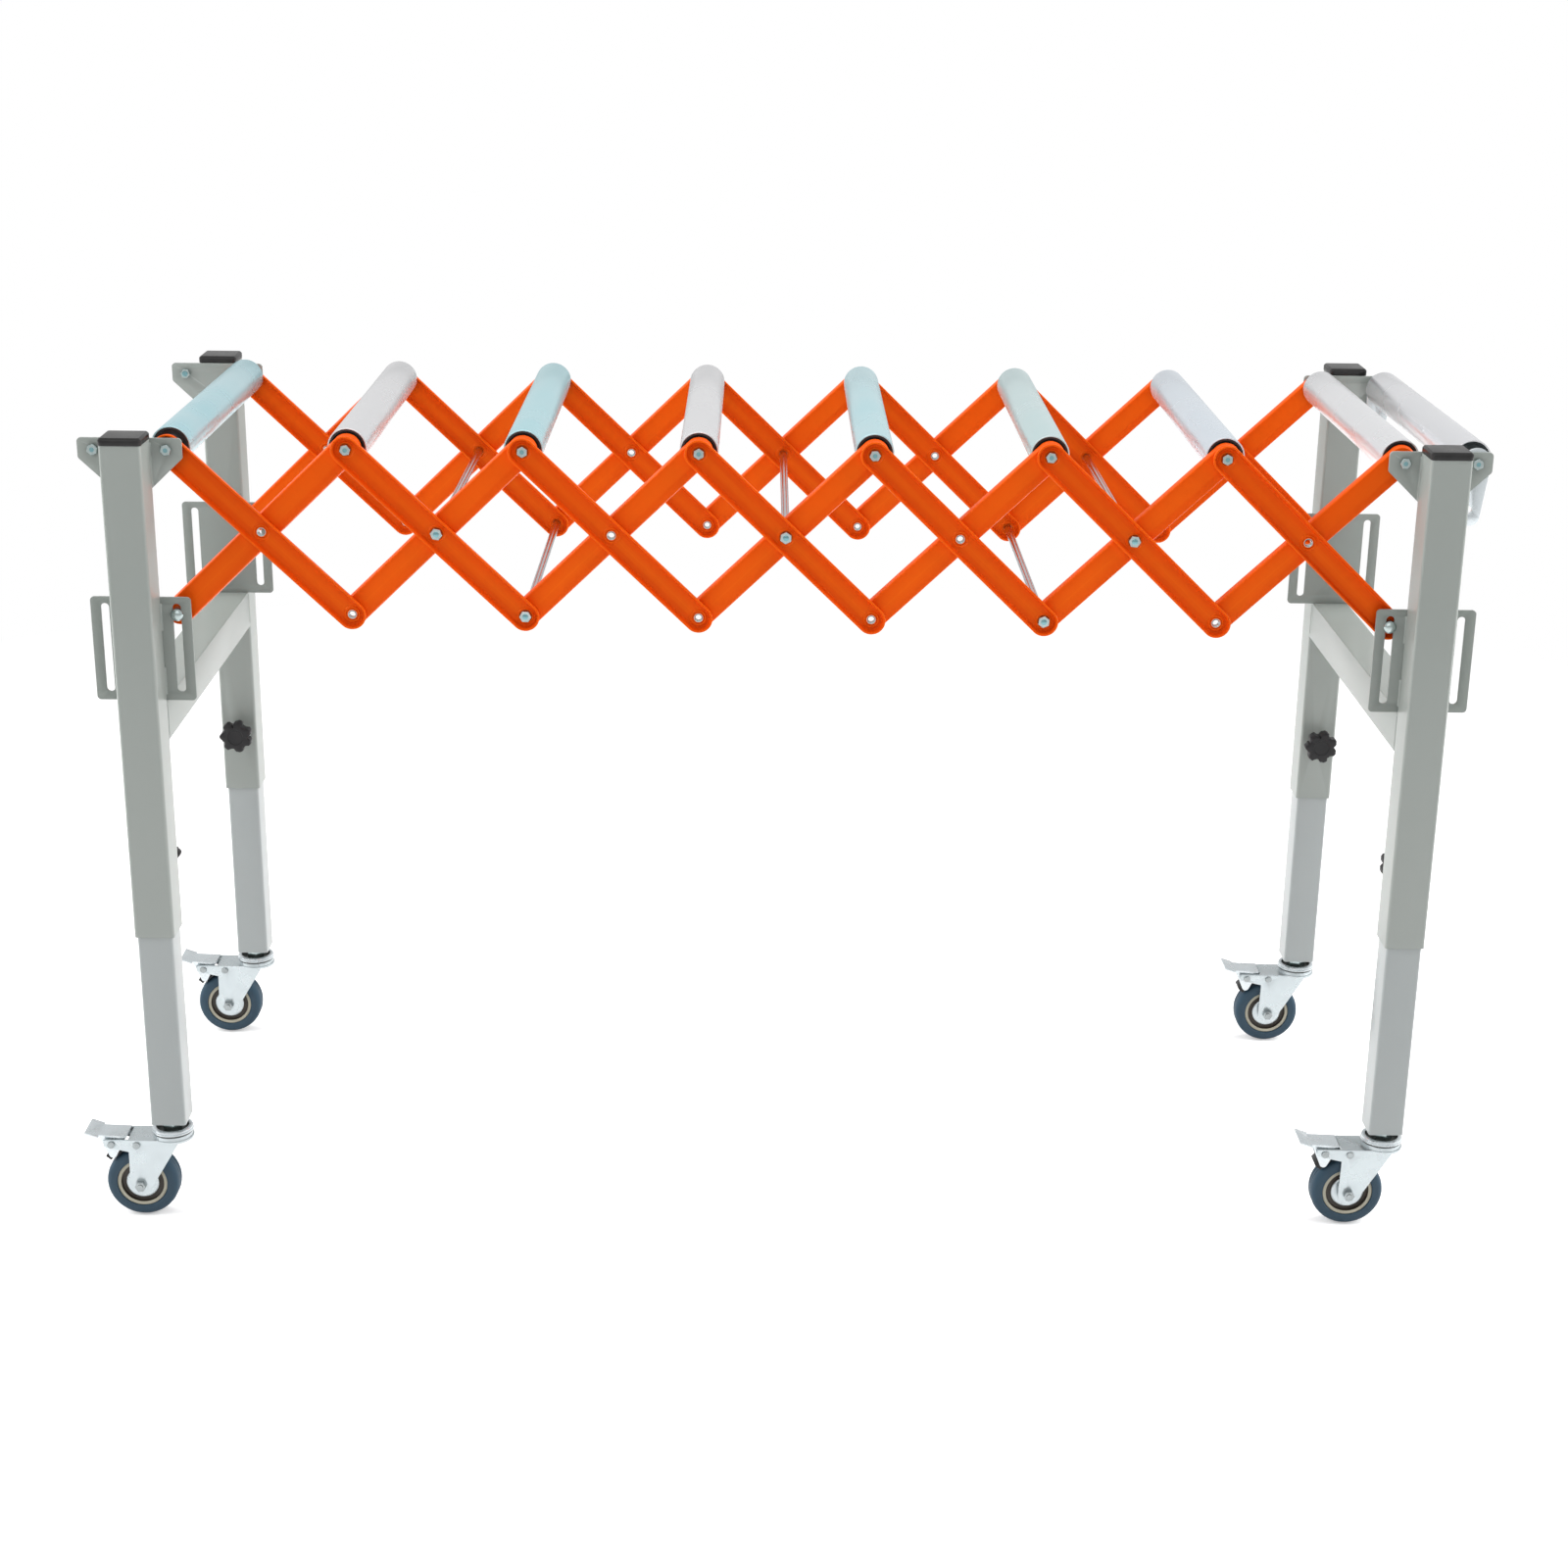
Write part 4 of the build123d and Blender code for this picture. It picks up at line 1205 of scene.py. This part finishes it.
@dataclass
class Legs:
    """Telescoping inner legs with caster stems, and the star knobs that clamp them."""

    side_length: float = 35.6
    corner: float = 2.5
    wall: float = 1.6
    foot: float = 107.0
    foot_wall: float = 1.7
    foot_recess: float = 0.7
    hollow: float = 120.0
    race_radius: float = 21.5
    race_low: float = 93.4
    race_floor: float = 95.1
    race_lip: float = 4.5
    stem_nut_flats: float = 19.0
    stem_nut_height: float = 10.2
    stem_nut_turn: float = 12.0
    stem_radius: float = 6.0
    thread_low: float = 104.0
    thread_high: float = 128.5
    thread_pitch: float = 1.75
    thread_turns: int = 12
    rivet_low: float = 83.8
    knob_radius: float = 19.0
    knob_height: float = 387.0
    knob_start: float = 7.6
    knob_neck: float = 4.0
    knob_head: float = 11.95
    knob_plain: float = 12.0
    stud_tip: float = -1.9
    lobes: int = 7
    places_per_lobe: int = 10
    lobe_dip: float = 0.22
    lobe_sharpness: float = 1.4

    def tube(self, name: str, x: float, y: float, top: float) -> Piece:
        """Inner leg with a foot plate.

        Args:
            name: Name of the leg.
            x: Its middle along the bed.
            y: Its middle across the bed.
            top: Its upper end.

        Returns:
            The leg.
        """
        half = self.side_length / 2
        leg = block(name, (x - half, y - half, self.foot), (x + half, y + half, top), self.corner)
        with edited(leg):
            for level, wall, depth in ((top, self.wall, -self.hollow),
                                       (self.foot, self.foot_wall, self.foot_recess)):
                pick(leg, Element.FACES, lambda p, end=level: abs(p.z - end) < 0.1)
                bpy.ops.mesh.inset(thickness=wall * MM)
                extrude(0, 0, depth)
        bevel_edges(leg, 0.4)
        smooth(leg)
        return leg

    def stem(self) -> Piece:
        """Caster stem: fixed race with its dish, nut, washer, thread and king rivet.

        Returns:
            The stem on the Z axis, at its height above the floor.
        """
        race, low, floor = self.race_radius, self.race_low, self.race_floor
        dish = race - self.race_lip
        shell = turned("race", [
            (5.5, low), (race - 1.6, low), (race - 0.5, low + 0.5), (race, low + 1.8),
            (race - 0.3, low + 3.0), (race - 0.9, low + 3.4), (race - 0.5, low + 4.0),
            (race - 0.9, low + 5.4), (race - 2.0, low + 6.3), (race - 3.2, low + 6.55), (dish, low + 6.2),
            (dish - 0.5, low + 5.2), (dish - 1.1, low + 2.6), (dish - 2.5, floor), (5.5, floor)],
            72, ring=True)
        # The dish and the band under the rim are painted dark: painted shade of these hollows, with some
        # grease.
        paint(shell, ZINC_PLATE, OILY_RECESS_SHADE,
              lambda p: axis_distance(p) < dish - 0.3 or p.y < low + 1.2)
        seat, screw, rivet = floor + 10.1, self.stem_radius, self.rivet_low
        thread: List[Step] = [(screw * 0.9, self.thread_low)]
        for turn in range(self.thread_turns):
            base = self.thread_low + 0.5 + turn * self.thread_pitch
            thread += [(screw, base + 0.6), (screw * 0.87, base + 1.45)]
        thread.append((screw * 0.7, self.thread_high))
        fasteners = [
            hexagon("stem_nut", self.stem_nut_flats, floor, self.stem_nut_height,
                    self.stem_nut_turn),
            turned("washer", [(5.0, seat), (11.6, seat), (12.0, seat + 0.4), (12.0, seat + 1.7),
                              (5.0, seat + 1.7)], 40, ring=True),
            turned("thread", thread, 32),
            turned("king_rivet", [
                (5.0, rivet), (9.0, rivet + 0.1), (9.9, rivet + 1.0), (10.0, rivet + 2.3),
                (5.5, rivet + 2.4), (5.5, rivet + 10.2)], 40)]
        whole = joined("stem", [shell, *(paint(piece, BOLT_ZINC) for piece in fasteners)])
        whole.data.transform(Matrix.Rotation(math.pi / 2, 4, "X"))
        return whole

    def knob(self) -> Tuple[Piece, Piece]:
        """Star knob and its stud about the Y axis, with Y zero on the tube's inner face.

        Returns:
            The knob and the stud.
        """
        radius, start = self.knob_radius, self.knob_start
        head = start + self.knob_neck
        end = head + self.knob_head
        star = turned("star", [
            (9.0, start), (9.5, start + 0.4), (9.5, head), (radius - 1.6, head), (radius - 0.5, head + 0.5),
            (radius, head + 1.8), (radius, end - 2.6), (radius - 0.7, end - 1.1), (radius - 2.2, end - 0.2),
            (radius - 4.2, end), (9.2, end), (8.6, end - 0.7), (3.0, end - 0.9)],
            self.lobes * self.places_per_lobe)
        with edited(star):
            for place in range(1, self.places_per_lobe):
                dip = 0.5 - 0.5 * math.cos(2 * math.pi * place / self.places_per_lobe)
                pick(star, Element.VERTICES, lambda p, here=place: self._place_in_lobe(p) == here)
                squeeze(1.0 - self.lobe_dip * dip ** self.lobe_sharpness)
        smooth(star, 50.0)
        tip = self.stud_tip
        stud = turned("stud", [(2.8, tip), (3.9, tip + 1.0), (3.95, start + 1.0), (3.0, start + 1.2)], 32)
        return star, stud

    def _place_in_lobe(self, point: Vector) -> int:
        """Counts how many places a vertex of the knob is on from the tip of its lobe.

        Args:
            point: The vertex.

        Returns:
            The count, which is zero for the plain middle of the knob.
        """
        if axis_distance(point) < self.knob_plain:
            return 0
        turn = math.atan2(point.z, point.x) / (2 * math.pi)
        return round(turn * self.lobes * self.places_per_lobe) % self.places_per_lobe

    def build(self) -> None:
        """Fits four legs, stems and knobs."""
        stem = self.stem()
        star, stud = self.knob()
        for corner, side, row in corners():
            x, node, knob = frame_middle(side), f"{corner}_leg", f"{corner}_knob"
            low, high = box_of(node)
            y = (low[1] + high[1]) / 2
            leg = self.tube(f"{corner}_inner_leg", x, y, high[2])
            dress(leg, LEG_GREY, node, node)
            dress(copy_of(stem, f"{corner}_caster_stem", at(x, y, 0)), None, node, node)
            spot = at(x, row.hand * TUBE_FACE, self.knob_height, row.turn)
            dress(copy_of(star, f"{knob}_star", spot), KNOB_PLASTIC, knob, knob)
            dress(copy_of(stud, f"{knob}_stud", spot), BOLT_ZINC, knob, knob)
        discard(stem, star, stud)


@dataclass
class Casters:
    """Swivel casters: pressed fork, grooved tyre, core, hub discs and brake pedal."""

    trail: float = 33.0
    wheel_radius: float = 37.5
    half_tyre: float = 12.5
    tyre_bore: float = 26.0
    half_core: float = 11.0
    half_bush: float = 14.6
    axle_bore: float = 3.4
    fork_edge: float = 0.5
    pedal_edge: float = 0.35
    half_shoe: float = 11.17
    shoe_top: float = 88.9

    def tyre(self) -> Piece:
        """Tyre with round shoulders and two grooves beside its middle band.

        Returns:
            The tyre, centred on Y zero.
        """
        r, side, bore = self.wheel_radius, -self.half_tyre, self.tyre_bore
        return turned("tyre", both_sides([
            (bore, 0.0), (bore, side + 0.5), (bore + 0.6, side), (r - 6.0, side + 0.1),
            (r - 3.6, side + 0.7), (r - 1.8, side + 2.2), (r - 0.6, side + 4.4), (r, side + 7.4), (r, -3.4),
            (r - 1.2, -3.1), (r - 1.3, -2.5), (r - 0.2, -2.1), (r - 0.1, -0.5)]), 96, ring=True)

    def core(self) -> Piece:
        """Wheel core: ring and web, with a sunk band between them and the hub disc.

        Returns:
            The core, centred on Y zero.
        """
        r, side = self.tyre_bore - 0.05, -self.half_core
        lip = r - 3.7
        core = turned("core", both_sides([
            (r, 0.0), (r, side + 0.4), (r - 0.5, side), (lip + 0.4, side), (lip, side + 0.5),
            (lip - 0.3, side + 4.2), (lip - 4.4, side + 4.6), (14.0, side + 3.0),
            (self.axle_bore, side + 3.0)]), 80, ring=True)
        # The sunk band and web inside the lip take a painted shadow.
        return paint(core, CORE_PLASTIC, CORE_SHADOW, lambda p: axis_distance(p) < lip + 0.1)

    def hub(self) -> Piece:
        """Pressed hub disc and bush on both sides of the core.

        Returns:
            Both discs, joined.
        """
        bore, side, end = self.axle_bore, -self.half_core, -self.half_bush
        near = turned("hub", [
            (bore, side + 2.6), (16.4, side + 2.6), (17.0, side + 2.0), (16.8, side + 0.9),
            (15.6, side + 0.1), (8.6, side), (6.2, side - 0.3), (6.0, end), (bore, end)], 64, ring=True)
        return joined("hub", [near, copy_of(near, "hub", at(0, 0, 0, Row.FAR.turn))])

    def build(self) -> None:
        """Fits four casters."""
        tyre, core, hub = self.tyre(), self.core(), self.hub()
        for corner, side, _ in corners():
            low, high = box_of(f"{corner}_fork")
            y = (low[1] + high[1]) / 2
            spot = at(frame_middle(side) - self.trail, y, self.wheel_radius)
            wheel = f"{corner}_wheel"
            dress(copy_of(tyre, f"{corner}_tyre", spot), TYRE_RUBBER, wheel, wheel)
            dress(copy_of(core, f"{corner}_core", spot), None, wheel, wheel)
            dress(copy_of(hub, f"{corner}_hub_discs", spot), FORK_PLATE, wheel, wheel)
            self._fork(corner)
            self._pedal(corner, y)
        discard(tyre, core, hub)

    def _fork(self, corner: str) -> None:
        """Splits the softened fork into its pressing and its bolts, rivets and washers.

        Args:
            corner: Name of the leg line.
        """
        node = f"{corner}_fork"
        with edited(softened_copy(node, f"{corner}_pressed_fork", self.fork_edge)):
            bpy.ops.mesh.separate(type="LOOSE")
        parts = sorted(bpy.context.selected_objects, key=lambda part: part.dimensions.x * part.dimensions.z)
        pressing = parts.pop()
        pressing.name = f"{corner}_pressed_fork"
        dress(pressing, FORK_PLATE, node, node)
        dress(joined(f"{corner}_fork_fasteners", parts), FORK_ZINC, node, node)

    def _pedal(self, corner: str, y: float) -> None:
        """Splits the softened pedal into its plate and its rubber shoe.

        Args:
            corner: Name of the leg line.
            y: Middle of the caster across the bed.
        """
        node = f"{corner}_pedal"
        plate = softened_copy(node, f"{corner}_pedal_plate", self.pedal_edge)
        with edited(plate):
            pick(plate, Element.FACES, lambda p: abs(p.y - y) < self.half_shoe and p.z < self.shoe_top)
            bpy.ops.mesh.separate(type="SELECTED")
        shoe = next(thing for thing in bpy.context.selected_objects if thing is not plate)
        shoe.name = f"{corner}_brake_shoe"
        dress(plate, ZINC_PLATE, node, node)
        dress(shoe, KNOB_PLASTIC, node, node)


@dataclass
class CouplingHooks:
    """Hook plates that hang from the last axle."""

    edge: float = 0.5

    def build(self) -> None:
        """Dresses both hooks."""
        for row in Row:
            node = f"{row.value}_coupling_hook"
            hook = softened_copy(node, f"{row.value}_hook_plate", self.edge)
            dress(hook, ZINC_PLATE, node, node)


# Studio, in metres


@dataclass(frozen=True)
class Window:
    """A soft square lamp that points at a height above the middle of the floor."""

    name: str
    place: Point
    aim: float
    size: float
    watts: float
    mirrored: bool = False

    def build(self) -> None:
        """Hangs the lamp, which glossy surfaces show only where it is to be mirrored."""
        data = bpy.data.lights.new(self.name, "AREA")
        data.size = self.size
        data.energy = self.watts
        lamp = bpy.data.objects.new(self.name, data)
        turn = (Vector((0, 0, self.aim)) - Vector(self.place)).to_track_quat("-Z", "Y")
        lamp.matrix_world = Matrix.Translation(self.place) @ turn.to_matrix().to_4x4()
        lamp.visible_glossy = self.mirrored
        bpy.context.scene.collection.objects.link(lamp)


WINDOWS = (
    Window("front_window", (-0.8, -3.4, 3.0), 0.5, 3.4, 28.0, True),
    Window("left_window", (-3.2, 0.3, 1.9), 0.5, 3.6, 200.0),
    Window("right_window", (3.2, 0.3, 1.9), 0.5, 3.6, 205.0),
    Window("top_window", (0.1, 0.3, 3.6), 0.4, 4.0, 56.0))


@dataclass
class Studio:
    """Floor, lamps and the camera at the photograph's place."""

    camera_place: Point = (-0.0086, -2.6416, 1.3104)
    pitch: float = 18.995
    yaw: float = 0.631
    roll: float = 0.75
    lens: float = 58.9
    sensor: float = 36.0
    floor_size: float = 24.0
    floor_level: float = -0.0005
    floor_grey: float = 0.78
    floor_glow: float = 0.30
    fade_start: float = 1.1
    fade_end: float = 2.4
    matt_light: float = 0.42
    gloss_share: float = 0.43

    def build(self) -> None:
        """Sets the whole studio."""
        self._camera()
        self._floor()
        self._world()
        for window in WINDOWS:
            window.build()

    def _camera(self) -> None:
        """Camera that repeats the photograph's view."""
        turns = ((-self.yaw, "Z"), (90.0 - self.pitch, "X"), (self.roll, "Z"))
        yaw, pitch, roll = (Matrix.Rotation(math.radians(angle), 4, axis) for angle, axis in turns)
        data = bpy.data.cameras.new("photo_camera")
        data.lens = self.lens
        data.sensor_width = self.sensor
        camera = bpy.data.objects.new("photo_camera", data)
        camera.matrix_world = Matrix.Translation(self.camera_place) @ yaw @ pitch @ roll
        bpy.context.scene.collection.objects.link(camera)
        bpy.context.scene.camera = camera

    def _floor(self) -> None:
        """Pale floor that keeps the shadow, looks white to the camera and fades out far away."""
        deselect()
        bpy.ops.mesh.primitive_plane_add(size=self.floor_size, location=(0, 0, self.floor_level))
        floor = bpy.context.object
        floor.name = "studio_floor"
        settle(floor)
        made = bpy.data.materials.new("pale_floor")
        made.use_nodes = True
        nodes = Wiring(made.node_tree)
        seen = nodes.add("LightPath", "Is Camera Ray")
        reach = nodes.add("VectorMath", "Value", {0: nodes.add("TexCoord", "Object")}, operation="LENGTH")
        fade = nodes.add("MapRange", "Result", {
            "Value": reach, "From Min": self.fade_start, "From Max": self.fade_end})
        grey = nodes.add("BsdfDiffuse", "BSDF", {"Color": (*[self.floor_grey] * 3, 1.0)})
        glow = nodes.add("Emission", "Emission", {"Strength": nodes.product(seen, self.floor_glow)})
        lit = nodes.add("AddShader", "Shader", {0: grey, 1: glow})
        white = nodes.add("Emission", "Emission")
        surface = nodes.add("MixShader", "Shader", {0: nodes.product(fade, seen), 1: lit, 2: white})
        made.node_tree.nodes.remove(made.node_tree.nodes["Principled BSDF"])
        nodes.feed(made.node_tree.nodes["Material Output"], {"Surface": surface})
        floor.data.materials.append(made)

    def _world(self) -> None:
        """White surroundings for the camera, softer ones in gloss and on matt surfaces."""
        world = bpy.data.worlds.new("studio_world")
        bpy.context.scene.world = world
        world.use_nodes = True
        nodes = Wiring(world.node_tree)
        glossy = nodes.product(nodes.add("LightPath", "Is Glossy Ray"), self.gloss_share)
        camera = nodes.add("LightPath", "Is Camera Ray")
        seen = nodes.add("Math", "Value", {0: camera, 1: glossy}, operation="MAXIMUM")
        level = nodes.add("MapRange", "Result", {"Value": seen, "To Min": self.matt_light, "To Max": 1.0})
        nodes.feed(world.node_tree.nodes["Background"], {"Color": (1.0, 1.0, 1.0, 1.0), "Strength": level})


def main() -> None:
    """Builds the studio and every sub-assembly in order."""
    logging.basicConfig(level=logging.INFO, format="%(name)s %(message)s")
    bpy.context.scene.view_settings.view_transform = "Standard"
    pivots = Pivots()
    for assembly in (
        Studio(), EndFrames(), ChannelBars(pivots), PivotHardware(pivots), Rollers(pivots), Legs(),
        Casters(), CouplingHooks(),
    ):
        LOG.info("building %s", type(assembly).__name__)
        assembly.build()


if __name__ == "__main__":
    main()
